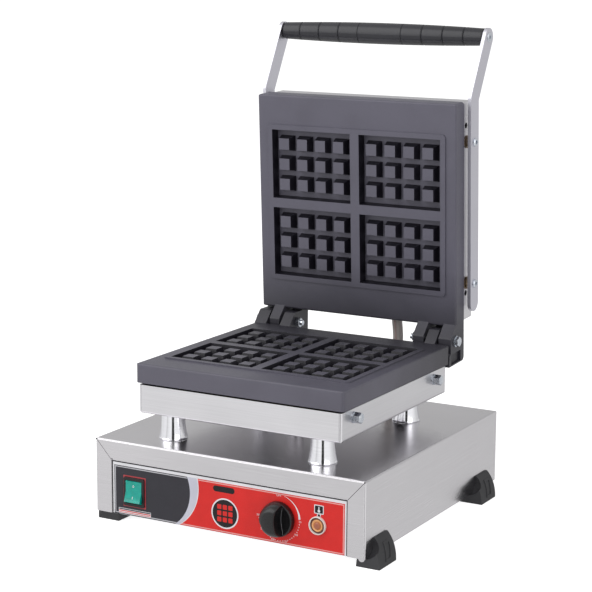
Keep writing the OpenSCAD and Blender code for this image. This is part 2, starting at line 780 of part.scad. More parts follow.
module lug_outline() {
    root = [-axis_behind - 3, face_n];
    toe = [-5, -lug_round];
    slope = atan2(face_n + lug_round, axis_behind - 2);
    toe_r = 3;
    toe_cut = toe_r*tan(slope/2);
    heel_in = 14.5;
    tail_r = 5;
    difference() {
        union() {
            polygon([
                root, toe - toe_cut*[cos(slope), -sin(slope)], toe + [toe_cut, 0],
                [lug_round, -lug_round], [heel_in, heel_n(heel_in)], [lug_tail, heel_n(lug_tail)],
                [lug_tail, back_n - tail_r], [lug_tail - tail_r, back_n], [-axis_behind - 3, back_n]]);
            translate([toe[0] + toe_cut, toe_r - lug_round]) circle(toe_r);
            translate([lug_tail - tail_r, back_n - tail_r]) circle(tail_r);
        }
        circle(hinge_r + run);
    }
}

// a lug between two distances from the middle, on the right (1) or left (-1)
module lug(inner, width, side) translate([side*(inner + width/2), 0, 0]) along_x(width) lug_outline();

outer_at = plate_w/2 - lug_outer;
mid_at = outer_at - lug_gap_out - lug_mid;
inner_at = mid_at - lug_gap_in - lug_inner;

// tapered outline on a mouth line: width at the mouth, lean over its height
module taper(mouth, deep, lean) {
    over = 1;
    spill = lean/deep*over;
    polygon([[-mouth/2 + spill, -over], [mouth/2 - spill, -over], [mouth/2 + lean, deep], [-mouth/2 - lean, deep]]);
}

module cavity_outline(mouth) translate([0, pad_n]) taper(mouth, cavity_deep, -wall_draft);
module stud_row(count) translate([0, pad_n + stud_drop]) for (i = [0:count - 1])
    translate([(i - (count - 1)/2)*stud_pitch, 0]) intersection() {
        taper(stud_top, cavity_deep, stud_draft);
        translate([-stud_pitch, 0]) square([2*stud_pitch, cavity_deep]);
    }

// what one waffle leaves: a tapered pocket round a field of tapered studs
module waffle() difference() {
    intersection() {
        along_y(2*cavity_d) cavity_outline(cavity_w);
        along_x(2*cavity_w) cavity_outline(cavity_d);
    }
    intersection() {
        along_y(2*cavity_d) stud_row(studs_x);
        along_x(2*cavity_w) stud_row(studs_y);
    }
}

// long ribs on the back that carry the tray, the cover and the arms
module side_rib() translate([rib_out - rib_t, -bolt_far - 10, back_n - 1])
    cube([rib_t, bolt_far - bolt_near + 20, rib_n - back_n + 1]);

module rib_bores() for (side = [-1, 1]) scale_x(side) {
    for (s = [bolt_near, bolt_far]) translate([rib_out, -s, bolt_n]) along_x_rod(m6 + fit, 40);
    for (s = [arm_screw_a, arm_screw_b]) translate([rib_out, -s, arm_n]) along_x_rod(m6 + fit, 40);
}

module stud_places() for (x = [-element_pitch, element_pitch], s = [box_mid - 62, box_mid + 62])
    translate([x, -s, 0]) children();

module waffle_casting() difference() {
    union() {
        translate([0, -box_mid, face_n]) soft_block(plate_w, plate_d, plate_t, plate_corner, plate_edge);
        translate([0, -pad_mid, pad_n]) linear_extrude(pad_rise + 0.5) round_rect(pad_w, pad_d, plate_corner);
        lug(outer_at, lug_outer, 1);
        lug(inner_at, lug_inner, 1);
        lug(mid_at, lug_mid, -1);
        for (side = [-1, 1]) scale_x(side) side_rib();
    }
    for (x = [-1, 1], y = [-1, 1])
        translate([x*(cavity_w + cavity_rib)/2, -pad_mid + y*(cavity_d + cavity_rib)/2, 0]) waffle();
    // sunk field in the tail of the outer lug
    translate([plate_w/2 - 2.5, 13, -11]) cube([5, lug_tail - 13 - 1.5, 25]);
    rib_bores();
    stud_places() translate([0, 0, back_n - 6.5]) cylinder(r = m6 + fit, h = 10);
}

module lower_plate() below() color("dimgray") waffle_casting();
module upper_plate() on_lid() color("dimgray") waffle_casting();

// ---------- tray and cover ----------

// a sheet box over a casting's back, open towards it
module heater_box(gap, h) difference() {
    translate([0, -box_mid, back_n + gap + h]) mirror([0, 0, 1]) sheet_box(box_w, box_d, h, box_bend);
    rib_holes();
}

module rib_holes() for (side = [-1, 1]) scale_x(side)
    for (s = [bolt_near, bolt_far]) translate([box_w/2, -s, bolt_n]) along_x_rod(m6 + 2*fit, 6);

module lower_tray() color("silver") difference() {
    below() heater_box(tray_gap, tray_h);
    // the side walls' flanges lap over the front
    below() for (side = [-1, 1]) scale_x(side)
        translate([box_w/2 - box_bend, -box_mid - box_d/2 - seam, back_n]) cube([seam, 2*seam, tray_h]);
    row_frame() post_places() cylinder(r = m8 + fit, h = base_h + post_h + 10);
    row_frame() translate([0, box_y(), 0]) cylinder(r = sleeve_r + fit, h = base_h + post_h + 10);
}

module upper_cover() on_lid() color("silver") difference() {
    seam_s = box_mid + box_d/2 - 15;
    heater_box(cover_gap, cover_h);
    for (side = [-1, 1]) scale_x(side) {
        for (s = [arm_screw_a, arm_screw_b]) translate([box_w/2, -s, arm_n]) along_x_rod(m6 + 2*fit, 6);
        translate([box_w/2 - seam, -seam_s, back_n + cover_gap]) cube([2*seam, seam, cover_h]);
    }
    translate([-box_w/2, -seam_s, back_n + cover_gap + cover_h - seam]) cube([box_w, seam, 2*seam]);
    translate([conduit_x, 0, conduit_n]) rotate([90, 0, 0]) cylinder(r = gland_neck + fit, h = 30);
}

// hexagon bolts standing off the tray's sides
module tray_bolts() below() color("lightgray") for (side = [-1, 1], s = [bolt_near, bolt_far])
    scale_x(side) translate([0, -s, bolt_n]) rotate([0, 90, 0]) {
        translate([0, 0, box_w/2 + tray_nut_t]) hex_head(10, 4.5);
        translate([0, 0, rib_out - rib_t]) cylinder(r = m6, h = box_w/2 + tray_nut_t + 1 - rib_out + rib_t);
    }

// nut and washer that hold each bolt to the tray's wall
tray_nut_t = 4.7;
module tray_nuts() below() color("gray") for (side = [-1, 1], s = [bolt_near, bolt_far])
    scale_x(side) translate([box_w/2, -s, bolt_n]) rotate([0, 90, 0]) difference() {
        union() {
            translate([0, 0, 0.05]) cylinder(r = 6, h = 1.3);
            translate([0, 0, 1.2]) hexagon(10, tray_nut_t - 1.3);
        }
        translate([0, 0, -1]) cylinder(r = m6 + fit, h = tray_nut_t + 2);
    }

// ---------- heaters ----------

// tubular element in four legs, its cold ends towards the hinge
module element() translate([0, -box_mid, back_n + element_r + fit]) {
    turn = element_pitch/2;
    for (i = [-1.5:1.5]) translate([i*element_pitch, 0, 0]) rotate([90, 0, 0])
        cylinder(r = element_r, h = element_leg, center = true);
    for (x = [-element_pitch, element_pitch]) translate([x, -element_leg/2, 0]) rotate([0, 0, 180])
        rotate_extrude(angle = 180) translate([turn, 0]) circle(element_r);
    translate([0, element_leg/2, 0]) rotate_extrude(angle = 180) translate([turn, 0]) circle(element_r);
    for (x = [-1.5, 1.5]) translate([x*element_pitch, element_leg/2 - 1, 0]) rotate([-90, 0, 0]) {
        cylinder(r = element_r, h = 18);
        cylinder(r = 2, h = 30);
    }
}

clamp_n = back_n + 2*element_r + 2*fit;
module clamp_plate() difference() {
    translate([0, -box_mid, clamp_n]) linear_extrude(clamp_t)
        round_rect(3*element_pitch + 30, element_leg + 46, 10);
    stud_places() translate([0, 0, clamp_n - 1]) cylinder(r = m6 + fit, h = clamp_t + 2);
    translate([0, -box_mid, clamp_n - 1]) linear_extrude(clamp_t + 2) round_rect(24, 100, 6);
}

module clamp_studs() stud_places() {
    translate([0, 0, back_n - 6]) cylinder(r = m6, h = clamp_n - back_n + clamp_t + 12);
    translate([0, 0, clamp_n + clamp_t]) hexagon(10, 5);
}

// blanket behind the clamp plate, cut away over the post bolts
module insulation(far, notched) difference() {
    near = clamp_n + clamp_t + 6.3;
    translate([0, -box_mid, near]) linear_extrude(far - near)
        round_rect(box_w - 2*sheet - 2*rib_t - 4, box_d - 2*sheet - 4, 6);
    if (notched) translate([0, 0, near - 1]) {
        for (x = [-post_x, post_x], y = [post_front, post_rear]) translate([-x, y - axis_y, 0]) cylinder(r = 12, h = 40);
        translate([0, -box_mid, 0]) cylinder(r = sleeve_r + 2, h = 40);
    }
    stud_places() cylinder(r = m6 + 1, h = 80);
    if (!notched) translate([conduit_x, 0, conduit_n]) rotate([90, 0, 0]) cylinder(r = 11, h = cover_near() + 12);
}

module lower_element() below() color("saddlebrown") element();
module lower_clamp_plate() below() color("gray") clamp_plate();
module lower_clamp_studs() below() color("lightgray") clamp_studs();
module lower_insulation() below() color("wheat") insulation(back_n + tray_gap + tray_h - sheet - rest_gap, true);
module upper_element() on_lid() color("saddlebrown") element();
module upper_clamp_plate() on_lid() color("gray") clamp_plate();
module upper_clamp_studs() on_lid() color("lightgray") clamp_studs();
module upper_insulation() on_lid() color("wheat") insulation(back_n + cover_gap + cover_h - sheet - rest_gap, false);

// ---------- hinge ----------

hinge_play = 0.2;
module hinge_bolts() at_axis() color("lightgray") for (side = [-1, 1]) scale_x(side) rotate([0, 90, 0]) {
    translate([0, 0, inner_at - 8]) cylinder(r = hinge_r, h = plate_w/2 - inner_at + 9);
    translate([0, 0, plate_w/2 + hinge_play]) cylinder(r = 6.2, h = 1.4);
    translate([0, 0, plate_w/2 + hinge_play + 1.3]) hex_head(10, 4);
}

module hinge_nuts() at_axis() color("lightgray") for (side = [-1, 1]) scale_x(side)
    translate([inner_at - hinge_play, 0, 0]) rotate([0, -90, 0]) difference() {
        hex_head(10, 5);
        translate([0, 0, -1]) cylinder(r = hinge_r + run, h = 7);
    }

// ---------- lid handle ----------

// flat bar with round ends, bent up towards the grip
module arm_outline() {
    r = arm_w/2;
    difference() {
        union() {
            translate([-arm_bend_s, arm_n - r]) square([arm_bend_s - arm_start - r, arm_w]);
            translate([-arm_start - r, arm_n]) circle(r);
            translate([-arm_bend_s, arm_n]) circle(r);
            translate([-arm_bend_s, arm_n]) rotate(180 - arm_bend) translate([0, -r]) square([arm_reach, arm_w]);
            translate([-grip_s, grip_n]) circle(r);
        }
        for (s = [arm_screw_a, arm_screw_b]) translate([-s, arm_n]) circle(m6 + fit);
        translate([-grip_s, grip_n]) circle(m6 + fit);
    }
}
module arm() translate([arm_in + arm_t/2, 0, 0]) along_x(arm_t) arm_outline();
module right_arm() on_lid() color("lightsteelblue") arm();
module left_arm() on_lid() color("lightsteelblue") mirror([1, 0, 0]) arm();

module arm_screw_places() for (side = [-1, 1], s = [arm_screw_a, arm_screw_b])
    scale_x(side) translate([0, -s, arm_n]) rotate([0, 90, 0]) children();

module arm_spacers() on_lid() color("lightgray") arm_screw_places() difference() {
    union() {
        translate([0, 0, box_w/2]) cylinder(r = 7, h = 1.1);
        translate([0, 0, box_w/2 + 1]) hexagon(10, arm_gap - 1);
    }
    translate([0, 0, box_w/2 - 1]) cylinder(r = m6 + fit, h = arm_gap + 2);
}

module arm_screws() on_lid() color("lightgray") arm_screw_places() translate([0, 0, arm_in + arm_t])
    socket_screw(m6, arm_in + arm_t - rib_out + rib_t, 4.8, 2, 4);

grip_half = arm_in - rest_gap;
grip_bore = 4.2;
grooves = [[27.3, 0.6], [52.5, 1], [78, 1], [103, 1]];

// barrel radius of the grip at a distance from its middle
function barrel(x) = grip_mid_r - (grip_mid_r - grip_end_r)*pow(x/grip_half, 2);

// half of the grip's turned outline: barrel, V grooves and a rounded end
function grip_line() = concat(
    [[0, grip_mid_r]],
    [for (g = grooves) let (x = g[0]*grip_half/126.7, d = groove*g[1]) each
        [[x - d, barrel(x - d)], [x, barrel(x) - d], [x + d, barrel(x + d)]]],
    [[grip_half - 2, barrel(grip_half - 2)], [grip_half - 0.6, barrel(grip_half) - 0.8],
     [grip_half, barrel(grip_half) - 2.2]]);

module on_grip() on_lid() translate([0, -grip_s, grip_n]) rotate([0, 90, 0]) children();

module handle_grip() on_grip() color("black") difference() {
    for (half = [0, 1]) mirror([0, 0, half]) rotate_extrude()
        polygon(concat([[0, 0]], [for (p = grip_line()) [p[1], p[0]]], [[0, grip_half]]));
    cylinder(r = grip_bore, h = 3*grip_half, center = true);
    for (half = [0, 1]) mirror([0, 0, half]) translate([-20, 0, grip_half - 11]) rotate([0, 90, 0])
        cylinder(r = 1.5, h = 14);
}

rod_bore_deep = 14;
module handle_rod() on_grip() color("lightgray") difference() {
    cylinder(r = grip_bore - 0.2, h = 2*arm_in - 0.1, center = true);
    for (half = [0, 1]) mirror([0, 0, half]) translate([0, 0, arm_in - rod_bore_deep])
        cylinder(r = 2.5 + fit, h = rod_bore_deep + 1);
}

module grip_screws() on_grip() color("lightgray") for (half = [0, 1]) mirror([0, 0, half])
    translate([0, 0, arm_in + arm_t]) socket_screw(2.5, arm_t + rod_bore_deep - 2, 5.5, 0.8, 3);

base_shell();
control_panel();
panel_foil();
bottom_pan();
foot_front_right();
foot_rear_right();
foot_front_left();
foot_rear_left();
foot_screws();
switch_body();
switch_rocker();
thermostat_body();
thermostat_shaft();
thermostat_knob();
thermostat_screws();
thermostat_bulb();
pilot_lamp_body();
pilot_lamp_lens();
terminal_block();
cable_gland();
wire_sleeve();
conduit_gland();
conduit_grommet();
conduit();
post_front_left();
post_front_right();
post_rear_left();
post_rear_right();
post_bolts();
post_nuts();
lower_tray();
lower_plate();
lower_element();
lower_clamp_plate();
lower_clamp_studs();
lower_insulation();
tray_bolts();
tray_nuts();
hinge_bolts();
hinge_nuts();
upper_plate();
upper_cover();
upper_element();
upper_clamp_plate();
upper_clamp_studs();
upper_insulation();
left_arm();
right_arm();
arm_spacers();
arm_screws();
handle_grip();
handle_rod();
grip_screws();
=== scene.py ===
# %% [markdown]
# # A square waffle maker with its lid open
#
# The construction is finished before this lesson starts: every plate, bolt and bracket already
# exists at its real size. Here the pieces get their looks. Each step says what a piece or a
# finish is on the real machine, how it could be made in Blender, and why this way was chosen.

import json
import math

import bmesh
import bpy
import numpy as np
from mathutils import Matrix, Vector


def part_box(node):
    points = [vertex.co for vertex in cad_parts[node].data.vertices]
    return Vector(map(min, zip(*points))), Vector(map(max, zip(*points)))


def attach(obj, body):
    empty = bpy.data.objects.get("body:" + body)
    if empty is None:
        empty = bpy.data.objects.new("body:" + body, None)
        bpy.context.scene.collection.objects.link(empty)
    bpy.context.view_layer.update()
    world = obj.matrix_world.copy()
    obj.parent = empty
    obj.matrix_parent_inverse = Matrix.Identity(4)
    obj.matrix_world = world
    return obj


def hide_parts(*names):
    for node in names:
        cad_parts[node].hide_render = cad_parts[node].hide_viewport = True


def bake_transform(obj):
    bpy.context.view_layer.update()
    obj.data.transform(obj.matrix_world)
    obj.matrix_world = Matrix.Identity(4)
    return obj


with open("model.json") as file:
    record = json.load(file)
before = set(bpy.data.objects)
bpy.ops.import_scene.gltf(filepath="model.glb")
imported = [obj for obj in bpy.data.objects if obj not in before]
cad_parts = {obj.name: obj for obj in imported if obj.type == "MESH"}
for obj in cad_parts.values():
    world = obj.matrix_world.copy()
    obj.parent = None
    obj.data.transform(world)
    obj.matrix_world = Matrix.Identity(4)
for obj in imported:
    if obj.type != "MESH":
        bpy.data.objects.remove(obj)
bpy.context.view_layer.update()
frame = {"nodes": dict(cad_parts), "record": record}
NODES = frame["nodes"]
BODIES = frame["record"]["behaviour"]["bodies"]
BODY_OF = {node: body for body, members in BODIES.items() for node in members}

# %% [markdown]
# ## One place to measure from
#
# Everything on the machine was laid out from the front, lower, middle point of the steel base,
# in millimetres. A small function turns such a measure into Blender's metres, so the numbers
# below can be checked with a ruler on the real machine.

# %% The base as the origin of all measures
MM = 0.001
base_low, base_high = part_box("base_shell")
ORIGIN = np.array([(base_low.x + base_high.x) / 2, base_low.y, base_low.z])


def at(x, y, z):
    """Millimetres from the base's front lower middle to metres in the shared frame."""
    return ORIGIN + MM * np.array([x, y, z])


def centre_of(node):
    """Middle of a node's box, as an array in metres."""
    low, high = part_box(node)
    return (np.array(low) + np.array(high)) / 2


BASE_W = (base_high.x - base_low.x) / MM
BASE_H = (base_high.z - base_low.z) / MM
print(f"base {BASE_W:.1f} mm wide and {BASE_H:.1f} mm high")

# %% [markdown]
# ## The camera
#
# The machine is seen from its front right corner, a little from above, through a long lens, as
# a catalogue shows it. The camera stands nearly two metres away, so the box shape keeps
# almost parallel edges. Its turn is built from three angles: round the vertical, down, and a
# slight roll.

# %% Camera
CAMERA_PLACE = (947.8, -1543.2, 599.2)
CAMERA_YAW = math.radians(29.314)
CAMERA_DOWN = math.radians(10.954)
CAMERA_ROLL = math.radians(0.38)
CAMERA_LENS = 112.12
FILM_WIDTH = 36
CAMERA_REACH = 100


def put(name, data):
    """Wraps data in an object of that name and puts it in the scene."""
    item = bpy.data.objects.new(name, data)
    bpy.context.scene.collection.objects.link(item)
    return item


def camera_axes(yaw, down, roll):
    """Right, up and backward unit vectors: forward is
    (-sin yaw cos down, cos yaw cos down, -sin down), and the roll turns right and up about it."""
    forward = np.array([
        -math.sin(yaw) * math.cos(down),
        math.cos(yaw) * math.cos(down),
        -math.sin(down),
    ])
    right = np.array([math.cos(yaw), math.sin(yaw), 0])
    up = np.cross(right, forward)
    turned_right = math.cos(roll) * right + math.sin(roll) * up
    turned_up = math.cos(roll) * up - math.sin(roll) * right
    return turned_right, turned_up, -forward


def add_camera():
    """A camera whose matrix has the three axes as columns and the place as its last column."""
    camera = put("camera", bpy.data.cameras.new("camera"))
    camera.data.lens = CAMERA_LENS
    camera.data.sensor_width = FILM_WIDTH
    camera.data.clip_end = CAMERA_REACH
    matrix = np.eye(4)
    matrix[:3, :3] = np.column_stack(camera_axes(CAMERA_YAW, CAMERA_DOWN, CAMERA_ROLL))
    matrix[:3, 3] = at(*CAMERA_PLACE)
    camera.matrix_world = Matrix(matrix.tolist())
    bpy.context.scene.camera = camera
    return camera


camera = add_camera()
print("camera stands at", [round(value, 3) for value in camera.matrix_world.translation])

# %% [markdown]
# ## Short words for node trees
#
# Every finish on this machine is a node tree: a Principled surface whose colour, roughness and
# bump are fed by noise. Writing each node out takes many lines, so a small helper adds a node
# and fills its sockets in one call. Patterns read Object coordinates, which are metres here, so
# a noise of scale 1000 has grains about a millimetre across.

# %% Colours and nodes
def colour_of(red, green, blue):
    """A colour picked as 0-255 screen values, turned to linear light, which is
    ((c + 0.055) / 1.055) ^ 2.4 for all but the darkest values."""
    screen = np.array([red, green, blue]) / 255
    linear = np.where(screen > 0.04045, ((screen + 0.055) / 1.055) ** 2.4, screen / 12.92)
    return (*linear.tolist(), 1.0)


def add_node(tree, kind, settings=None, **sockets):
    """Adds a node to a tree: settings are its attributes, and a socket takes a value or another
    node's output. A socket goes by its label, or by its place, as in _0, where labels repeat."""
    made = tree.nodes.new("ShaderNode" + kind)
    for key, value in (settings or {}).items():
        setattr(made, key, value)
    for socket, value in sockets.items():
        target = made.inputs[int(socket[1:])] if socket[1:].isdigit() else made.inputs[socket]
        if isinstance(value, bpy.types.NodeSocket):
            tree.links.new(value, target)
        else:
            target.default_value = value
    return made


def arithmetic(tree, operation, a, b=0.0):
    """One arithmetic step on one or two values, in any node tree."""
    return add_node(tree, "Math", {"operation": operation}, _0=a, _1=b).outputs[0]


def tone_ramp(tree, value, stops):
    """Colours or greys at places from 0 to 1, joined smoothly."""
    made = add_node(tree, "ValToRGB", Fac=value)
    elements = made.color_ramp.elements
    while len(elements) < len(stops):
        elements.new(0.5)
    for element, (place, tone) in zip(elements, stops):
        element.position = place
        element.color = tone if hasattr(tone, "__len__") else (tone, tone, tone, 1)
    return made.outputs[0]


def shade(tone, factor):
    """The same colour, lighter or darker by a factor on its linear values."""
    return tuple(min(1.0, channel * factor) for channel in tone[:3]) + (1.0,)


print("screen grey 128 is", round(colour_of(128, 128, 128)[0], 3), "in linear light")

# %% [markdown]
# A finish under construction remembers its own tree, so that each kind of surface below can be
# written in a dozen lines: some noises, then the colour, the roughness and the bump they feed.

# %% A finish under construction
FINISHES = {}


class Finish:
    """A material under construction: its surface shader and the nodes that feed it. It is kept
    in FINISHES under its name."""

    def __init__(self, name, colour, roughness, metallic=0.0, **sockets):
        self.material = FINISHES[name] = bpy.data.materials.new(name)
        self.material.use_nodes = True
        self.tree = self.material.node_tree
        self.surface = self.tree.nodes["Principled BSDF"]
        self.surface.inputs["Base Color"].default_value = colour
        self.surface.inputs["Roughness"].default_value = roughness
        self.surface.inputs["Metallic"].default_value = metallic
        self.material.diffuse_color = colour
        for socket, value in sockets.items():
            self.surface.inputs[socket.replace("_", " ")].default_value = value

    def node(self, kind, settings=None, **sockets):
        """Adds a node and gives its first output."""
        return add_node(self.tree, kind, settings, **sockets).outputs[0]

    def where(self, kind="Object"):
        """A point's coordinates; the Object kind is in metres."""
        return add_node(self.tree, "TexCoord").outputs[kind]

    def noise(self, scale, detail=3.0, roughness=0.5, stretch=(1, 1, 1), distortion=0.0):
        """Noise of that many grains a metre, stretched along some axes."""
        return self.node(
            "TexNoise", Vector=self.node("Mapping", Vector=self.where(), Scale=stretch),
            Scale=scale, Detail=detail, Roughness=roughness, Distortion=distortion,
        )

    def along(self, direction, start, end):
        """0 where a point's share of a direction is start and 1 where it is end, in metres."""
        settings = {"operation": "DOT_PRODUCT"}
        dot = self.node("VectorMath", settings, _0=self.where(), _1=tuple(direction)).node
        span = {"From Min": start, "From Max": end}
        return self.node("MapRange", Value=dot.outputs["Value"], **span)

    def from_axis(self, centre, radius, across=(1, 0, 1)):
        """0 on an axis through a centre and 1 at a radius from it; across is 1 for the two
        directions square to the axis."""
        scale = np.array(across) / radius
        shift = tuple(-scale * centre)
        mapped = self.node("Mapping", Vector=self.where(), Location=shift, Scale=tuple(scale))
        return self.node("VectorMath", {"operation": "LENGTH"}, _0=mapped).node.outputs["Value"]

    def ramp(self, value, *stops):
        """Colours or greys at places from 0 to 1, joined smoothly."""
        return tone_ramp(self.tree, value, stops)

    def paint(self, socket, value, *stops):
        """Feeds a socket of the surface with such a ramp."""
        self.feed(socket, self.ramp(value, *stops))

    def math(self, operation, a, b=0.0):
        """One arithmetic step on one or two values."""
        return arithmetic(self.tree, operation, a, b)

    def mix(self, share, a, b):
        """Colour a where share is 0, colour b where it is 1."""
        return self.node("MixRGB", Fac=share, Color1=a, Color2=b)

    def feed(self, socket, output):
        """Joins an output to a socket of the surface."""
        self.tree.links.new(output, self.surface.inputs[socket])

    def bump(self, height, depth, strength=1.0):
        """Raises the surface by height times depth, in metres."""
        self.feed("Normal", self.node("Bump", Height=height, Distance=depth, Strength=strength))


print("finishes are built with", Finish.__name__)

# %% [markdown]
# ## Brushed steel sheet
#
# The base, the tray and the cover are stainless sheet, rubbed with an abrasive belt. The belt
# leaves lines a fraction of a millimetre apart and many centimetres long. A plain noise looks
# like sand, so the noise is stretched a hundredfold along the belt. On the sheets that face
# left or right the belt ran from front to rear, so the surface's own direction picks between
# two stretched noises. The lines vary the colour by a few percent, the roughness by more,
# and the bump by a hair.

# %% Brushed steel
GRAIN_LENGTH = 14
GRAIN_LINES = 1500
GRAIN_DEPTH = 2.5e-5


def brushed(name, tone, smooth=0.24, spread=0.14, contrast=0.10):
    """Metal whose colour and roughness follow long, fine lines and a slow, cloudy stain."""
    finish = Finish(name, tone, smooth, metallic=1.0)
    across = finish.noise(1, 4, 0.65, stretch=(GRAIN_LENGTH, GRAIN_LINES, GRAIN_LINES))
    along = finish.noise(1, 4, 0.65, stretch=(GRAIN_LINES, GRAIN_LENGTH, GRAIN_LINES))
    sideways = finish.node("SeparateXYZ", Vector=finish.where("Normal"))
    is_side = finish.math("GREATER_THAN", finish.math("ABSOLUTE", sideways), 0.7)
    lines = finish.mix(is_side, across, along)
    cloud = finish.noise(9, 3, 0.55)
    dark = shade(tone, 1 - contrast)
    light = shade(tone, 1 + contrast)
    coloured = finish.ramp(lines, (0.25, dark), (0.5, tone), (0.75, light))
    cloudy = finish.ramp(cloud, (0.35, shade(tone, 0.93)), (0.65, shade(tone, 1.05)))
    finish.feed("Base Color", finish.mix(0.4, coloured, cloudy))
    worn = finish.ramp(cloud, (0.3, smooth - spread * 0.25), (0.7, smooth + spread * 0.25))
    rubbed = finish.ramp(lines, (0.2, smooth - spread / 2), (0.8, smooth + spread / 2))
    finish.feed("Roughness", finish.mix(0.4, rubbed, worn))
    finish.bump(lines, GRAIN_DEPTH)


STEEL = colour_of(214, 212, 215)
brushed("brushed_steel", STEEL)
brushed("satin_steel", colour_of(222, 221, 224), smooth=0.34, spread=0.1)
brushed("arm_steel", colour_of(210, 209, 217), smooth=0.4, spread=0.12, contrast=0.05)
brushed("plain_steel", colour_of(168, 168, 172), smooth=0.45, spread=0.2)
print("steel colour", [round(channel, 3) for channel in STEEL[:3]])

# %% [markdown]
# ## Polished aluminium, zinc and brass
#
# The four posts are turned from aluminium and polished, so they show the room in vertical
# stripes. The lathe leaves rings round them, which are lines stretched across the axis. Bolts
# are zinc plated: bright, a little blue, with fine cloudy patches. The spacers under the arms
# have the yellow passivated kind of plating, which looks like dull brass.

# %% Bright metals
LATHE_RINGS = 2200


def plated(name, tone, tint, smooth):
    """Plated metal: a cloudy mix of two close tones, with patches of duller polish."""
    finish = Finish(name, tone, smooth, metallic=1.0)
    cloud = finish.noise(260, 4, 0.6, distortion=0.4)
    finish.paint("Base Color", cloud, (0.3, tint), (0.62, tone))
    finish.paint("Roughness", cloud, (0.3, smooth + 0.14), (0.7, smooth))
    finish.bump(finish.noise(1400, 3), 8e-6)


def turned_metal(name, tone, smooth):
    """Metal cut on a lathe: fine rings square to a vertical axis."""
    finish = Finish(name, tone, smooth, metallic=1.0)
    lines = finish.noise(1, 3, 0.6, stretch=(30, 30, LATHE_RINGS))
    darker, lighter = shade(tone, 0.94), shade(tone, 1.04)
    finish.paint("Base Color", lines, (0.3, darker), (0.7, lighter))
    finish.paint("Roughness", lines, (0.25, smooth * 0.6), (0.75, smooth * 1.6))
    finish.bump(lines, 6e-6)


turned_metal("polished_aluminium", colour_of(236, 236, 240), 0.09)
for name, tone, tint, smooth in (
    ("zinc_steel", (216, 220, 226), (182, 188, 198), 0.2),
    ("yellow_zinc", (176, 156, 130), (132, 116, 104), 0.34),
    ("gland_metal", (196, 194, 190), (168, 164, 160), 0.28),
    ("bulb_copper", (186, 122, 90), (150, 96, 74), 0.3),
    ("element_sheath", (120, 104, 92), (86, 78, 74), 0.45),
):
    plated(name, colour_of(*tone), colour_of(*tint), smooth)
print("metals:", ", ".join(FINISHES))

# %% [markdown]
# ## The coated castings
#
# The two waffle castings are aluminium with a dark grey release coating. The coating is sprayed
# over a sand-cast skin, so it has two textures at once: the soft, pebbly skin, about half a
# millimetre across, and a finer grit. The bevelled edges take a lighter second tone, its own
# material. It is partly wear, where hands and forks rub the coating thin, and partly a painted
# highlight, the shine that the rounded edges catch.

# %% Coated casting
def coating(name, tone, sparkle, painted_shade=None):
    """Semi-gloss grey coating over a pebbly cast skin. One with painted shade grows from a share of
    its tone at a start, along a direction, to its full tone at an end: painted shade, darkest at
    the start."""
    finish = Finish(name, tone, 0.5, Specular_IOR_Level=0.45)
    pebbles = finish.noise(900, 4, 0.62)
    grit = finish.noise(3800, 2, 0.7)
    patches = finish.noise(22, 3, 0.5)
    darker, lighter = shade(tone, 1 - sparkle), shade(tone, 1 + sparkle)
    speckled = finish.ramp(grit, (0.3, darker), (0.72, lighter))
    patched = finish.ramp(patches, (0.3, shade(tone, 0.92)), (0.7, shade(tone, 1.08)))
    coloured = finish.mix(0.5, speckled, patched)
    if painted_shade:
        direction, start, end, darkest = painted_shade
        wander = finish.math("MULTIPLY", finish.math("SUBTRACT", patches, 0.5), 0.3)
        share = finish.math("ADD", finish.along(direction, start, end), wander)
        grown = finish.ramp(share, (0.0, 0.0), (1.0, 1.0))
        coloured = finish.mix(grown, shade(tone, darkest), coloured)
    finish.feed("Base Color", coloured)
    finish.paint("Roughness", pebbles, (0.25, 0.34), (0.75, 0.52))
    skin = finish.math("ADD", pebbles, finish.math("MULTIPLY", grit, 0.35))
    finish.bump(skin, 1.6e-4, 0.55)


# Painted shade: the lid's face darkens towards its foot and the lower plate's face towards its
# rear, both next to the hinge, where less light falls.
LID_PAINTED_SHADE = ((0, 0, 1), at(0, 0, 165)[2], at(0, 0, 240)[2], 0.26)
LOWER_PAINTED_SHADE = ((0, -1, 0), -at(0, 290, 0)[1], -at(0, 90, 0)[1], 0.2)
coating("coated_casting", colour_of(94, 92, 104), 0.3)
coating("lid_casting", colour_of(98, 96, 109), 0.3, LID_PAINTED_SHADE)
coating("lower_casting", colour_of(96, 94, 106), 0.3, LOWER_PAINTED_SHADE)
# Nearly black painted shade for the walls of the moulds and for the sunk field by the hinge.
coating("painted_shade_coating", colour_of(26, 24, 33), 0.2)
# A lighter tone for the bevelled edges: partly wear, partly a painted highlight where the rounded
# edges catch the light.
coating("rubbed_coating", colour_of(126, 125, 138), 0.15)
print("coatings:", ", ".join(name for name in FINISHES if "coat" in name or "casting" in name))

# %% [markdown]
# ## Rubber, plastics and ceramics
#
# The feet are soft black rubber, the knob and grip are hard black thermoset plastic with a low
# gloss, and the switch is smoother. They differ in how rough they are and in the size of their
# moulded grain, so one function makes them all from a tone, a gloss and a grain.

# %% Moulded materials
def moulded(name, tone, smooth, grain=1800, depth=4e-5):
    """Moulded rubber or plastic: a fine grain, a slow variation in gloss and a faint dust tone."""
    finish = Finish(name, tone, smooth)
    fine = finish.noise(grain, 3, 0.55)
    slow = finish.noise(45, 3, 0.5)
    darker, lighter = shade(tone, 0.88), shade(tone, 1.12)
    finish.paint("Base Color", slow, (0.3, darker), (0.7, lighter))
    smoothest = max(0.05, smooth - 0.06)
    finish.paint("Roughness", fine, (0.3, smoothest), (0.7, smooth + 0.06))
    finish.bump(fine, depth, 0.5)


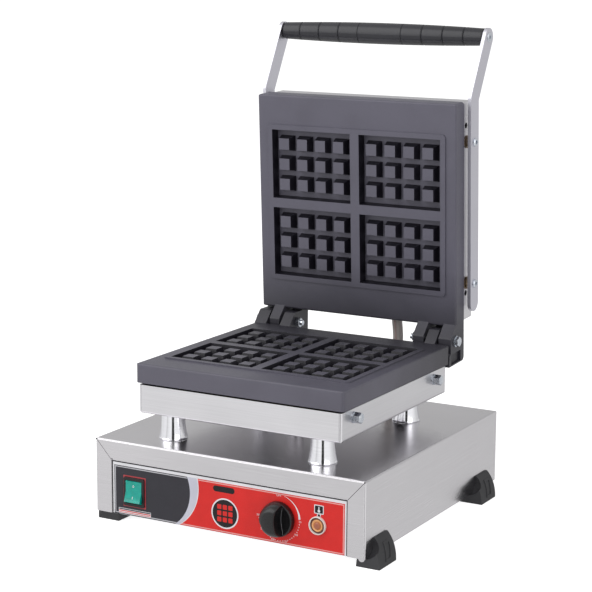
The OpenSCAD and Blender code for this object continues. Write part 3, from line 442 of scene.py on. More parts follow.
for name, tone, *touch in (
    ("foot_rubber", (46, 46, 49), 0.6, 2400, 6e-5),
    ("black_plastic", (18, 18, 20), 0.34),
    ("knob_plastic", (18, 17, 19), 0.3, 2600, 2e-5),
    # The ridge's light grey is a painted highlight on the knob's black plastic.
    ("ridge_plastic", (112, 112, 116), 0.3, 2600, 2e-5),
    ("black_grip", (40, 40, 46), 0.32, 900, 2e-5),
    ("white_bezel", (238, 234, 230), 0.3),
    ("insulator", (206, 192, 160), 0.55, 700),
    ("mineral_wool", (214, 200, 166), 0.95, 420, 9e-4),
):
    moulded(name, colour_of(*tone), *touch)
print("a knob of", FINISHES["knob_plastic"].name, "with a ridge of", FINISHES["ridge_plastic"].name)

# %% [markdown]
# ## The lit switch and the pilot lamp
#
# The rocker is clear green plastic over a small lamp, and the pilot lamp has an amber lens.
# Both are off here but still look deep, because light enters them and comes back coloured.
# True refraction is slow and noisy on a piece of this size, so each is an opaque gloss with a
# little subsurface scatter and a thin clear coat.

# %% Coloured lenses
def lens_plastic(name, tone, deep, smooth=0.16):
    """Tinted lens plastic: two tones mixed by a slow noise, some scatter below the surface, and
    a coat."""
    finish = Finish(
        name, tone, smooth, Subsurface_Weight=0.25, Subsurface_Scale=0.002,
        Coat_Weight=0.15, Coat_Roughness=0.08,
    )
    slow = finish.noise(160, 2, 0.5)
    finish.paint("Base Color", slow, (0.3, deep), (0.7, tone))
    finish.paint("Roughness", finish.noise(1500), (0.3, smooth * 0.8), (0.7, smooth * 1.3))
    finish.bump(slow, 5e-5, 0.4)


lens_plastic("green_rocker", colour_of(0, 178, 160), colour_of(0, 156, 142))
lens_plastic("amber_lens", colour_of(206, 116, 52), colour_of(164, 82, 44))
print("lens plastics: green_rocker and amber_lens")

# %% [markdown]
# ## Printed inks
#
# The control panel is a polyester foil printed in a few flat inks under a clear satin face. A
# print isn't a perfectly even colour: the ink lies a little thicker here and there, and the
# satin face has a very fine grain. Each ink is one call of the same function.

# %% Inks
INK_GLOSS = 0.3


def ink(name, tone):
    """Screen-printed ink under a satin clear face."""
    finish = Finish(
        name, tone, INK_GLOSS, Specular_IOR_Level=0.3, Coat_Weight=0.1, Coat_Roughness=0.2,
    )
    laid = finish.noise(70, 3, 0.5)
    satin = finish.noise(3000, 2, 0.5)
    darker, lighter = shade(tone, 0.95), shade(tone, 1.04)
    finish.paint("Base Color", laid, (0.3, darker), (0.7, lighter))
    finish.paint("Roughness", satin, (0.3, INK_GLOSS - 0.05), (0.7, INK_GLOSS + 0.08))
    finish.bump(satin, 1e-5, 0.4)


INK_TONES = {
    "white_ink": (236, 236, 240), "dark_ink": (50, 49, 56), "red_ink": (224, 42, 38),
    "lavender_ink": (206, 207, 220), "grey_line_ink": (196, 196, 202),
    "pink_line_ink": (240, 176, 172), "switch_line_ink": (186, 72, 78),
    "black_ink": (20, 19, 22),
}
for name, tone in INK_TONES.items():
    ink(name, colour_of(*tone))
print("inks:", ", ".join(INK_TONES))

# %% [markdown]
# ## Dressing the construction
#
# The record gives every node a material slot, and the finishes carry the slots' names, but for
# two slots. So dressing the model is a lookup: node, slot, finish. A node that a detailed
# piece replaces later still gets its finish here.

# %% Give every node its finish
SLOT_FINISHES = {"printed_foil": "white_ink", "conduit_sleeve": "gland_metal"}
SLOT_OF = {part["node"]: part["material_slot"] for part in frame["record"]["subparts"]}


def dress(item, *names):
    """Replaces an object's material slots by the finishes of these names."""
    item.data.materials.clear()
    for name in names:
        item.data.materials.append(FINISHES[SLOT_FINISHES.get(name, name)])


for node, item in NODES.items():
    dress(item, SLOT_OF[node])
dress(NODES["arm_spacers"], "yellow_zinc")
print(len(SLOT_OF), "nodes dressed")

# %% [markdown]
# ## Surfaces as grids of points
#
# Most new pieces are skins over a grid: rows of points, each row a closed ring or an open line.
# The whole grid is worked out by numpy at once, and one function turns any such grid into a
# mesh. It also closes the two ends, because a real piece is solid and a printed or cut copy of
# it needs a closed skin.

# %% Grid to mesh
WELD = 1e-6


def show(name, mesh, finish, smooth_angle=35):
    """Puts a mesh in the scene with its finish, smooth but for corners sharper than an angle."""
    mesh.shade_smooth()
    mesh.set_sharp_from_angle(angle=math.radians(smooth_angle))
    piece = put(name, mesh)
    dress(piece, finish)
    return piece


def link_piece(name, mesh, finish, body, smooth_angle=35):
    """Shows a mesh as a piece that rides on a body."""
    piece = show(name, mesh, finish, smooth_angle)
    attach(piece, body)
    return piece


def tidy_mesh(mesh, weld=WELD):
    """Merges points that coincide, drops faces without area, and turns all faces outwards."""
    work = bmesh.new()
    work.from_mesh(mesh)
    bmesh.ops.remove_doubles(work, verts=work.verts, dist=weld)
    bmesh.ops.dissolve_degenerate(work, edges=work.edges, dist=weld)
    bmesh.ops.recalc_face_normals(work, faces=work.faces)
    work.to_mesh(mesh)
    work.free()
    mesh.update()
    return mesh


def ring_skin(name, rings, hollow=False):
    """Mesh over rings, an array of rings x points x 3: point k of ring i joins point k of ring
    i + 1. Each ring closes on itself. The first and last ring are filled by one face each, or in
    a hollow piece the last ring joins the first."""
    count, around = rings.shape[:2]
    i, k = np.meshgrid(np.arange(count if hollow else count - 1), np.arange(around), indexing="ij")
    ahead = (i + 1) % count
    following = (k + 1) % around
    this, other = i * around, ahead * around
    corners = [this + k, this + following, other + following, other + k]
    faces = np.stack(corners, axis=-1).reshape(-1, 4).tolist()
    if not hollow:
        faces.append(np.arange(around)[::-1].tolist())
        faces.append(((count - 1) * around + np.arange(around)).tolist())
    mesh = bpy.data.meshes.new(name)
    mesh.from_pydata(rings.reshape(-1, 3).tolist(), [], faces)
    return tidy_mesh(mesh)


print("pieces are smooth but for corners over 35 degrees")

# %% [markdown]
# ## Round corners on an outline
#
# A turned post, a lamp bezel and a printed badge all begin as an outline with a few corners,
# and real corners are never sharp. This function takes the corners and a radius for each, and
# replaces a corner by an arc that touches both of its sides.

# %% Outlines with round corners
def rounded(corners, radii, steps=6, closed=True):
    """Outline with arcs in its corners: each arc starts and ends r / tan(half the corner's
    angle) from the corner, and its middle lies on the corner's bisector. An open outline keeps
    its two ends."""
    corners = np.asarray(corners, float)
    radii = np.broadcast_to(np.asarray(radii, float), len(corners))
    outline = []
    for index, (corner, radius) in enumerate(zip(corners, radii)):
        is_end = not closed and index in (0, len(corners) - 1)
        if radius <= 0 or is_end:
            outline.append(corner[None])
            continue
        back = corners[index - 1] - corner
        ahead = corners[(index + 1) % len(corners)] - corner
        back_length, ahead_length = np.linalg.norm(back), np.linalg.norm(ahead)
        back, ahead = back / back_length, ahead / ahead_length
        half = math.acos(np.clip(back @ ahead, -1, 1)) / 2
        reach = min(radius / math.tan(half), 0.499 * back_length, 0.499 * ahead_length)
        radius = reach * math.tan(half)
        bisector = (back + ahead) / np.linalg.norm(back + ahead)
        middle = corner + bisector * radius / math.sin(half)
        start = corner + back * reach - middle
        turn = math.pi - 2 * half
        side = np.sign(back[0] * ahead[1] - back[1] * ahead[0])
        angles = -side * np.linspace(0, turn, steps + 1)
        cosine, sine = np.cos(angles)[:, None], np.sin(angles)[:, None]
        square_to_start = np.array([-start[1], start[0]])
        outline.append(middle + cosine * start + sine * square_to_start)
    return np.concatenate(outline)


def circle(radius, count=96, centre=(0, 0), start=0.0, sweep=360.0):
    """Points on a circle, or on a part of it, anticlockwise from start, in degrees."""
    steps = count if sweep == 360 else count - 1
    angles = np.radians(start + sweep * np.arange(count) / steps)
    return np.array(centre) + radius * np.stack([np.cos(angles), np.sin(angles)], axis=1)


soft_square = rounded([(0, 0), (10, 0), (10, 10), (0, 10)], 2)
print("a 10 mm square with 2 mm corners has", len(soft_square), "points")

# %% [markdown]
# ## Turned pieces
#
# Anything cut on a lathe is a profile spun round an axis. The Spin and Screw tools do it, but
# then the object must be turned into place. Here the ring positions come from the axis itself,
# so the finished mesh is already where it belongs.

# %% Lathe
def basis(axis):
    """Two unit vectors square to an axis and to each other, and the axis at length 1."""
    axis = np.asarray(axis, float) / np.linalg.norm(axis)
    helper = np.array([0, 0, 1.0]) if abs(axis[2]) < 0.9 else np.array([0, 1.0, 0])
    first = np.cross(helper, axis)
    first /= np.linalg.norm(first)
    return first, np.cross(axis, first), axis


def turned(name, profile, centre, axis, finish, smooth_angle=35, hollow=False, around=96):
    """Lathe for a piece of the base: a profile point (radius, height) in millimetres becomes the
    ring centre + height * axis + radius * (cos t * first + sin t * second). A hollow piece has a
    bore, and its profile goes all the way round the wall."""
    first, second, along = basis(axis)
    profile = np.asarray(profile, float) * MM
    cosine, sine = circle(1, around).T[:, :, None]
    spoke = cosine * first + sine * second
    radius, height = profile[:, 0, None, None], profile[:, 1, None, None]
    rings = np.asarray(centre) + height * along + radius * spoke
    return link_piece(name, ring_skin(name, rings, hollow), finish, "base", smooth_angle)


print("the spokes of an upright piece lie along", *basis((0, 0, 1))[:2])

# %% [markdown]
# ## The four posts
#
# Between base and tray stand four polished posts. Each is slim at the top and opens towards its
# foot in one smooth curve, like a trumpet. No straight lines and arcs meet there, so the flare
# is a formula: the extra radius dies away with the height, to the power 2.2. A small rounding
# at the foot and at the top finishes the profile, and a bore down the middle holds the bolt.

# %% Posts
POSTS = ("post_front_left", "post_front_right", "post_rear_left", "post_rear_right")
POST_TOP_R = 12.4
POST_BORE_R = 4.2
FLARE_POWER = 2.2


def post_profile(low, high, steps=36):
    """Wall of half a post: radius = top + (foot - top) * (1 - height / full height) ^ 2.2."""
    foot = (high.x - low.x) / 2 / MM
    height = (high.z - low.z) / MM
    z = np.linspace(0.9, height - 0.5, steps)
    radius = POST_TOP_R + (foot - POST_TOP_R) * (1 - z / height) ** FLARE_POWER
    radius[0] = foot
    flare = np.stack([radius, z], axis=1)
    below = [(POST_BORE_R, 0), (foot - 0.5, 0), (foot - 0.1, 0.3)]
    above = [(POST_TOP_R - 0.5, height), (POST_BORE_R, height)]
    return np.concatenate([below, flare, above])


for node in POSTS:
    low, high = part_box(node)
    foot_middle = (*centre_of(node)[:2], low.z)
    post = turned(
        node + "_polished", post_profile(low, high), foot_middle, (0, 0, 1),
        "polished_aluminium", hollow=True,
    )
    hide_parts(node)
print("posts are", round((high.z - low.z) / MM, 1), "mm high")

# %% [markdown]
# ## Soft edges on castings and sheet
#
# A drawing has razor-sharp edges, but a casting leaves the sand with rounded ones and the
# coating rounds them more. Those roundings catch the light, and without them a model looks
# like paper. Modelling them by hand would take days; the Bevel modifier finds every edge
# sharper than a given angle and rounds it. It needs clean faces, so a copy of the drawn mesh is
# merged first: its thousands of loose triangles become a few hundred whole faces.

# %% Eased copies of drawn nodes
JOIN = 2e-6
FLAT = math.radians(1.2)
EDGE_ANGLE = 32


def eased_copy(node, width, segments=2, finish=None, edge_finish=None):
    """A copy of a node with whole faces and rounded edges, which may have a finish of their own."""
    mesh = NODES[node].data.copy()
    work = bmesh.new()
    work.from_mesh(mesh)
    bmesh.ops.remove_doubles(work, verts=work.verts, dist=JOIN)
    bmesh.ops.dissolve_limit(work, angle_limit=FLAT, verts=work.verts, edges=work.edges)
    work.to_mesh(mesh)
    work.free()
    if "custom_normal" in mesh.attributes:
        mesh.attributes.remove(mesh.attributes["custom_normal"])
    piece = link_piece(node + "_eased", mesh, finish or SLOT_OF[node], BODY_OF[node], EDGE_ANGLE)
    if edge_finish:
        mesh.materials.append(FINISHES[edge_finish])
    bevel = piece.modifiers.new("soft edges", "BEVEL")
    bevel.width = width * MM
    bevel.segments = segments
    bevel.limit_method = "ANGLE"
    bevel.angle_limit = math.radians(EDGE_ANGLE)
    bevel.harden_normals = True
    bevel.material = 1 if edge_finish else -1
    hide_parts(node)
    return piece


# A node, the rounding's width in millimetres and segments, and the two finishes of a casting.
EASED = (
    ("lower_plate", 0.5, 2, "lower_casting", "rubbed_coating"),
    ("upper_plate", 0.5, 2, "lid_casting", "rubbed_coating"),
    ("left_arm", 0.5), ("right_arm", 0.5),
    ("foot_front_left", 0.9, 3), ("foot_rear_left", 0.9, 3),
    ("foot_front_right", 0.9, 3), ("foot_rear_right", 0.9, 3),
    ("switch_rocker", 0.35), ("switch_body", 0.3),
)
eased = {node: eased_copy(node, *settings) for node, *settings in EASED}
print(len(eased), "eased copies")

# %% [markdown]
# ## Walls in painted shade
#
# The walls of the moulds lie in shade, so they get a nearly black painted shade. The walls are
# found by measuring: a wall stands across the casting's face, lies below it, and is well inside
# its outline. The walls get a material slot of their own, and so does the sunk field in the
# side of the hinge, which takes the same painted shade.

# %% Find and darken the walls
LID_LEAN = math.radians(3)
FACE_NORMALS = {
    "lower_plate": (0, 0, 1),
    "upper_plate": (0, -math.cos(LID_LEAN), -math.sin(LID_LEAN)),
}
# In millimetres: a wall's least distance from the casting's sides, what the moulds have beyond
# the record's openings, and how deep below the face a wall's middle lies.
WALL_MARGIN, MOULD_REST, MOULD_DEPTHS = 9.0, 12.5, (0.8, 18.0)
# The cosine between a wall's normal and the face's: a wall leans, and rounds over at its foot.
WALL_TILTS = (-0.5, 0.75)
# The sunk field: a depth below the casting's right side, give or take, around the hinge's axis.
FIELD_SUNK, FIELD_SLACK, HINGE_REACH = 2.5, 0.4, 40.0
HINGE_AXIS = at(0, 285.5, 162.5)
FLAT_ON = 0.99
SIDEWAYS = 0.9


def of_faces(mesh, kind, columns=1):
    """One property of all faces, as an array with a row for each face."""
    values = np.empty(columns * len(mesh.polygons))
    mesh.polygons.foreach_get(kind, values)
    return values.reshape(-1, columns).squeeze()


def between(values, low, high):
    """True where a value lies between two limits."""
    return (values > low) & (values < high)


def mould_span(node, uphill):
    """Lowest and highest place of a casting's moulds along its face, from the openings that the
    record names, each with the rest of its mould added."""
    boxes = [opening["box_m"] for opening in frame["record"]["physics"]["openings"]
             if opening["name"].startswith(node.split("_")[0] + "_waffle")]
    places = np.array(boxes).reshape(-1, 3) @ uphill
    return places.min() - MOULD_REST * MM, places.max() + MOULD_REST * MM


def darken_walls(casting, node):
    """Gives the nearly black painted shade to the walls of a casting's moulds, and to its hinge's
    sunk field.
    """
    mesh = casting.data
    normal = np.array(FACE_NORMALS[node])
    uphill = np.cross(normal, (1.0, 0, 0))
    normals, middles = of_faces(mesh, "normal", 3), of_faces(mesh, "center", 3)
    heights, up, right = middles @ normal, middles @ uphill, middles[:, 0]
    facing = normals @ normal
    face_height = heights[np.argmax(np.where(facing > FLAT_ON, of_faces(mesh, "area"), 0))]
    low, high = MM * np.array(MOULD_DEPTHS)
    walls = between(face_height - heights, low, high) & between(facing, *WALL_TILTS)
    margin = WALL_MARGIN * MM
    walls &= between(right, right.min() + margin, right.max() - margin)
    walls &= between(up, *mould_span(node, uphill))
    # The sunk field by the hinge gets the painted shade too, in place of the shade in that recess.
    near_hinge = np.linalg.norm(middles[:, 1:] - HINGE_AXIS[1:], axis=1) < HINGE_REACH * MM
    off_field = np.abs(right.max() - FIELD_SUNK * MM - right)
    walls |= near_hinge & (off_field < FIELD_SLACK * MM) & (normals[:, 0] > SIDEWAYS)
    mesh.materials.append(FINISHES["painted_shade_coating"])
    mesh.polygons.foreach_set("material_index", np.where(walls, 2, 0).astype(np.int32))
    return int(walls.sum())


for node in FACE_NORMALS:
    print(node, "has", darken_walls(eased[node], node), "dark faces")

# %% [markdown]
# ## The thermostat's knob
#
# The knob is a dome with one side scooped out for the thumb and a small notch on the other, on
# a low round skirt. Cutting a dome with booleans leaves ragged edges. Instead each height of the
# knob is one closed line: seen from a point inside, the line is as far away as the nearest of
# three circles, the dome's, the scoop's and the notch's. A soft minimum of the three distances
# rounds the corners where they meet.

# %% Knob
KNOB_NODE_LOW, KNOB_NODE_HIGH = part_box("thermostat_knob")
KNOB_H = (KNOB_NODE_HIGH.y - KNOB_NODE_LOW.y) / MM
KNOB_R = (KNOB_NODE_HIGH.z - KNOB_NODE_LOW.z) / 2 / MM
SCOOP, SCOOP_R = np.array([37.0, 1.0]), 32.9
NOTCH, NOTCH_R = np.array([-20.6, -9.2]), 8.4
EYE = np.array([-5.0, 0.0])
MISSED = 60.0
# The dome's foot stands in from the skirt's rim, rises straight to a shoulder, and drops from
# there. The scoop and the notch open towards the front, and the scoop's front edge is rounded.
SKIRT_GAP, SHOULDER, DOME_DROP = 0.6, 5.0, 8.0
SCOOP_LEAN, NOTCH_LEAN, FRONT_EDGE = 0.8, 1.5, 1.4
FRONT_SWELL = 0.45
# The higher this power, the sharper the corners between the three circles.
CORNER_POWER = 16


def far_side(centre, radius, rays):
    """Distance d from EYE along each ray to a circle around EYE, the larger root of
    |EYE + d ray - centre| = radius."""
    gap = EYE - centre
    along = rays @ gap
    return -along + np.sqrt(along**2 - gap @ gap + radius**2)


def near_side(centre, radius, rays):
    """Distance along each ray to a circle beside EYE, or a large one where the ray misses it."""
    gap = EYE - centre
    along = rays @ gap
    inside = along**2 - gap @ gap + radius**2
    hits = (inside > 0) & (along < 0)
    return np.where(hits, -along - np.sqrt(np.maximum(inside, 0)), MISSED)


def quarter(share):
    """The drop of a quarter circle: 1 - sqrt(1 - share^2), from 0 at share 0 to 1 at share 1."""
    return 1 - math.sqrt(max(0.0, 1 - np.clip(share, 0, 1) ** 2))


def knob_rings(around=240):
    """Rings of the grip from its foot to its front: at height h the dome's radius is
    R - 8 (1 - sqrt(1 - u^2)), where u goes from 0 just above the skirt to 1 at the front."""
    rays = circle(1, around)
    front = KNOB_H - FRONT_SWELL
    rise = np.sin(np.linspace(0, math.pi / 2, 22))
    rings = []
    for height in np.concatenate([[2.8, 4], SHOULDER + (front - SHOULDER) * rise]):
        drop = quarter((height - SHOULDER) / (front - SHOULDER))
        edge = quarter((height - front + FRONT_EDGE) / FRONT_EDGE)
        scoop = SCOOP_R + SCOOP_LEAN * height / front + FRONT_EDGE * edge
        distances = np.stack([
            far_side(np.zeros(2), KNOB_R - SKIRT_GAP - DOME_DROP * drop, rays),
            near_side(SCOOP, scoop, rays),
            near_side(NOTCH, NOTCH_R + NOTCH_LEAN * drop, rays),
        ])
        reach = (distances**-CORNER_POWER).sum(axis=0) ** (-1 / CORNER_POWER)
        rings.append(np.column_stack([EYE + reach[:, None] * rays, np.full(around, height)]))
    last = rings[-1][:, :2] - EYE
    for share in (0.85, 0.65, 0.45, 0.25, 0.08):
        swell = np.full(around, front + 0.4 * (1 - share**2))
        rings.append(np.column_stack([EYE + share * last, swell]))
    return np.array(rings)


def knob_place(rings):
    """Knob measures (right, up, out) in millimetres to the shared frame."""
    right, _, up = centre_of("thermostat_shaft")
    shares = np.stack([rings[..., 0], -rings[..., 2], rings[..., 1]], axis=-1)
    return np.array([right, KNOB_NODE_HIGH.y, up]) + MM * shares


skirt_line = rounded(
    [(0, 2.6), (15.6, 2.6), (16.4, 0), (KNOB_R - 0.2, 0), (KNOB_R, 1.2), (KNOB_R - 0.3, 6.4),
     (KNOB_R - 1.8, 6.4), (KNOB_R - 4.5, 4.6), (8, 3.6), (0, 3.4)],
    [0, 0.3, 0.3, 0.2, 0.8, 0.7, 0.5, 3, 3, 0], steps=5, closed=False,
)
cosine, sine = circle(1, 160).T
skirt_r, skirt_out = skirt_line.T[:, :, None]
skirt_rings = np.stack([skirt_r * cosine, skirt_r * sine, skirt_out + 0 * sine], axis=-1)
knob_parts = bmesh.new()
for label, rings in (("grip", knob_rings()), ("skirt", skirt_rings)):
    knob_parts.from_mesh(ring_skin("knob_" + label, knob_place(rings)))
knob_mesh = bpy.data.meshes.new("thermostat_knob_domed")
knob_parts.to_mesh(knob_mesh)
knob_parts.free()
knob = link_piece("thermostat_knob_domed", knob_mesh, "knob_plastic", "knob", 40)
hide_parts("thermostat_knob")
print("knob", round(2 * KNOB_R, 1), "mm across and", round(KNOB_H, 1), "mm high")

# %% [markdown]
# A fine ridge runs down the dish of the skirt, where the thumb's scoop meets it. Its line
# follows the scoop's circle and the height of the skirt's dished top, and small rings along
# that line make it round. Its light grey is a painted highlight: the plastic is as black as the
# knob, and the grey shows the shine along the rounded crease.

# %% Ridge
RIDGE_R = 0.32
# In millimetres: the ridge's ends, its shift off the scoop's circle and its lift off the dish,
# whose height goes with the distance from the knob's middle.
RIDGE_SPAN = (-14.3, 13.6)
RIDGE_SHIFT, RIDGE_LIFT = 0.3, 0.2
DISH = ([0, 8, 13.7, 16.4], [3.4, 3.6, 4.6, 6.4])
ridge_up = np.linspace(*RIDGE_SPAN, 40)
ridge_right = SCOOP[0] - np.sqrt(SCOOP_R**2 - (ridge_up - SCOOP[1]) ** 2) + RIDGE_SHIFT
ridge_out = np.interp(np.hypot(ridge_right, ridge_up), *DISH) + RIDGE_LIFT
ridge_line = np.stack([ridge_right, ridge_up, ridge_out], axis=1)[:, None]
ridge_rings = ridge_line + np.insert(circle(RIDGE_R, 12), 1, 0, axis=1)
ridge_mesh = ring_skin("knob_ridge", knob_place(ridge_rings))
link_piece("knob_ridge", ridge_mesh, "ridge_plastic", "knob")
print("ridge", 2 * RIDGE_R, "mm thick")

# %% [markdown]
# ## The pilot lamp
#
# The lamp beside the knob is a white plastic cup with a thin rim, and an amber lens sunk in it.
# The lens is moulded in rings, which spread the light of the small bulb behind it. Both are
# turned shapes, so both are profiles on the lathe that start and end on the axis. The lens's
# colour changes from the middle outwards, so its finish measures the distance from that axis.
# Its dark outermost rings are painted shadow, where the lens sinks below the cup's rim.

# %% Pilot lamp
foil_low, foil_high = [(np.array(corner) - ORIGIN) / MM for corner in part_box("panel_foil")]
FOIL_FACE = foil_low[1]
TOWARDS_USER = (0, -1, 0)
LAMP_RIM_R = 9.4
LENS_R = 8.2


def on_foil(node):
    """The point on the foil's face that lies under the middle of a node."""
    middle = centre_of(node)
    return np.array([middle[0], at(0, FOIL_FACE, 0)[1], middle[2]])


def ringed_lens(name, centre, radius, stops):
    """Lens plastic whose colour changes from the middle outwards: a stop is a share of the
    radius and a tone."""
    stops = [(share, colour_of(*tone)) for share, tone in stops.items()]
    finish = Finish(name, stops[0][1], 0.2, Coat_Weight=0.3, Coat_Roughness=0.1)
    share = finish.from_axis(centre, radius * MM)
    wander = finish.math("MULTIPLY", finish.noise(900, 2), 0.08)
    finish.paint("Base Color", finish.math("ADD", share, wander), *stops)
    finish.paint("Roughness", finish.noise(1500), (0.3, 0.14), (0.7, 0.3))
    finish.bump(finish.noise(1100, 2), 5e-5, 0.4)


# The two darkest stops, at the lens's rim, are painted shadow of the cup's rim.
ringed_lens("amber_rings", centre_of("pilot_lamp_lens"), LENS_R, {
    0.0: (158, 92, 72), 0.36: (176, 100, 66), 0.5: (178, 98, 40), 0.64: (248, 184, 118),
    0.74: (244, 176, 110), 0.84: (112, 56, 34), 1.0: (84, 38, 26),
})
cup_line = rounded(
    [(0, -23), (6.4, -23), (6.4, 0), (LAMP_RIM_R, 0), (LAMP_RIM_R, 2.2), (LAMP_RIM_R - 0.3, 3),
     (LENS_R + 0.2, 3), (LENS_R, 0.6), (5.5, 0.6), (5.5, -21.8), (0, -21.8)],
    [0, 0, 0, 0, 0.5, 0.4, 0.3, 0, 0, 0, 0], closed=False,
)
lens_line = rounded(
    [(0, -6), (5.4, -6), (5.4, 0.7), (LENS_R - 0.1, 0.7), (LENS_R - 0.1, 0.95), (6.3, 1.1),
     (6.05, 2.0), (5.3, 2.2), (4.7, 1.5), (4.2, 1.5), (3.8, 2.1), (2.0, 2.7), (0, 2.8)],
    [0, 0, 0, 0, 0.1, 0.2, 0.3, 0.4, 0.2, 0.2, 0.5, 1.0, 0], closed=False,
)
for name, node, line, finish, angle in (
    ("pilot_lamp_cup", "pilot_lamp_body", cup_line, "white_bezel", 35),
    ("pilot_lamp_amber", "pilot_lamp_lens", lens_line, "amber_rings", 50),
):
    piece = turned(name, line, on_foil(node), TOWARDS_USER, finish, angle)
    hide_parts(node)
print("the lamp's rim is", 2 * LAMP_RIM_R, "mm across")

# %% [markdown]
# ## Flat prints
#
# The control panel's foil carries large fields, thin lines, figures and a badge. A print has
# almost no thickness, but a sheet without thickness has no inside, and two prints at the same
# height flicker. So each ink is a closed plate 0.05 mm thick, and a later ink lies one layer
# higher. Blender's flat curves fill an outline with holes by themselves, so each plate starts
# as such a curve, becomes a mesh, and is then moved point by point onto its plane.

# %% A plate of ink on any plane
INK = 0.05
CAPITAL = 0.7


class Plane:
    """A plane to print on: the point (u, v, w), in millimetres, lies at
    origin + u * across + v * up + w * out, where out is the cross product of across and up."""

    def __init__(self, origin, across=(1, 0, 0), up=(0, 0, 1)):
        self.origin = np.asarray(origin, float)
        self.axes = np.array([across, up, np.cross(across, up)], float)

    def place(self, mesh, shift):
        """Moves a flat mesh, drawn in millimetres, by a shift on the plane and off it."""
        points = np.empty(3 * len(mesh.vertices))
        mesh.vertices.foreach_get("co", points)
        points = points.reshape(-1, 3) + shift
        mesh.vertices.foreach_set("co", (self.origin + MM * points @ self.axes).ravel())
        mesh.update()
        return mesh


def mesh_of(curve):
    """The mesh that a curve or a text shows, with its double points merged."""
    holder = put(curve.name, curve)
    bpy.context.view_layer.update()
    shown = holder.evaluated_get(bpy.context.evaluated_depsgraph_get())
    mesh = bpy.data.meshes.new_from_object(shown)
    bpy.data.objects.remove(holder)
    return tidy_mesh(mesh, weld=1e-4)


def printed(name, outlines, finish, plane, layer=1, body="base", thick=INK):
    """A plate of ink between outlines, where an outline inside another is a hole. Layer 1 lies
    on the plane."""
    curve = bpy.data.curves.new(name, "CURVE")
    curve.dimensions = "2D"
    curve.fill_mode = "BOTH"
    curve.extrude = thick / 2
    for outline in outlines:
        spline = curve.splines.new("POLY")
        spline.points.add(len(outline) - 1)
        flat = np.zeros((len(outline), 4))
        flat[:, :2] = outline
        spline.points.foreach_set("co", flat.ravel())
        spline.use_cyclic_u = True
    mesh = plane.place(mesh_of(curve), (0, 0, (layer - 1) * INK + thick / 2))
    return link_piece(name, mesh, finish, body)


print("a plate of ink is", INK, "mm thick")

# %% [markdown]
# Figures start as text, which is a curve too. Most outlines are rectangles, and most marks are
# printed many at a time, one layer above what lies below them.

# %% Figures, rectangles and lists of marks
def figures(name, words, height, place, layer=2):
    """Plain figures or ON and OFF in white, centred on a place (u, v) of the panel."""
    text = bpy.data.curves.new(name, "FONT")
    text.body = words
    text.size = height / CAPITAL
    text.align_x = "CENTER"
    text.align_y = "CENTER"
    text.extrude = INK / 2
    text.resolution_u = 3
    mesh = PANEL.place(mesh_of(text), (*place, (layer - 0.5) * INK))
    return link_piece(name, mesh, "white_ink", "base")


def box_outline(left, low, right, high, radius=0.0, inset=0.0):
    """A rectangle, drawn smaller by an inset, with round corners if it has a radius."""
    left, low, right, high = left + inset, low + inset, right - inset, high - inset
    corners = [(left, low), (right, low), (right, high), (left, high)]
    return rounded(corners, radius) if radius else np.array(corners, float)


def print_all(marks, layer):
    """Prints marks on the panel: a name and its outlines, its ink and, if it isn't the common
    one, its layer."""
    for name, outlines, ink_name, *own_layer in marks:
        printed("print_" + name, outlines, ink_name, PANEL, *(own_layer or [layer]))


PANEL = Plane(at(0, FOIL_FACE, 0))
print("prints lie on the foil,", round(FOIL_FACE, 2), "mm behind the front face")

# %% [markdown]
# ## The panel's fields
#
# The foil is printed edge to edge in a dark and a red field, parted by a pale crescent that
# narrows downwards. Each side of the crescent is an arc of a very large circle, and three
# points on an arc are enough to know its circle. The fields stop short of the foil's edge, so
# the white of the foil frames them, and they have holes where the switch, the knob and the
# lamp pass through. A dark line along the foil's edge is the shadow gap round the panel.

# %% Fields and crescent
(FOIL_LEFT, _, FOIL_LOW), (FOIL_RIGHT, _, FOIL_HIGH) = foil_low, foil_high
FIELD_LEFT, FIELD_RIGHT = FOIL_LEFT + 2.6, FOIL_RIGHT - 2.8
FIELD_LOW, FIELD_HIGH = FOIL_LOW, FOIL_HIGH - 4.4
CRESCENT_RIM = 1.1
EDGE = 1.3
SIDE_EDGE = 0.7 * EDGE
HEIGHTS = np.linspace(FIELD_LOW, FIELD_HIGH, 60)


def arc_side(a, b, c):
    """For the big circle through three points (x, z), a function of height:
    x = middle + sqrt(r^2 - (z - middle)^2). The middle is where the perpendicular bisectors of
    a-b and b-c meet."""
    a, b, c = (np.array(point, float) for point in (a, b, c))
    squares = np.array([b @ b - a @ a, c @ c - b @ b])
    middle = np.linalg.solve(2 * np.array([b - a, c - b]), squares)
    radius = np.linalg.norm(a - middle)
    return lambda z: middle[0] + np.sqrt(radius**2 - (z - middle[1]) ** 2)


dark_side = arc_side((-48, 55.8), (-43.4, 39.2), (-64, -1))
red_side = arc_side((-34.9, 56.9), (-32.7, 40.9), (-57.3, -0.2))
SWITCH = (centre_of("switch_rocker") - ORIGIN)[[0, 2]] / MM
KNOB = (centre_of("thermostat_shaft") - ORIGIN)[[0, 2]] / MM
LAMP = (centre_of("pilot_lamp_lens") - ORIGIN)[[0, 2]] / MM
switch_hole = box_outline(SWITCH[0] - 12, SWITCH[1] - 14.8, SWITCH[0] + 12, SWITCH[1] + 14.8)


def side_line(side, shift=0.0):
    """Points up one side of the crescent."""
    return np.stack([side(HEIGHTS) + shift, HEIGHTS], axis=1)


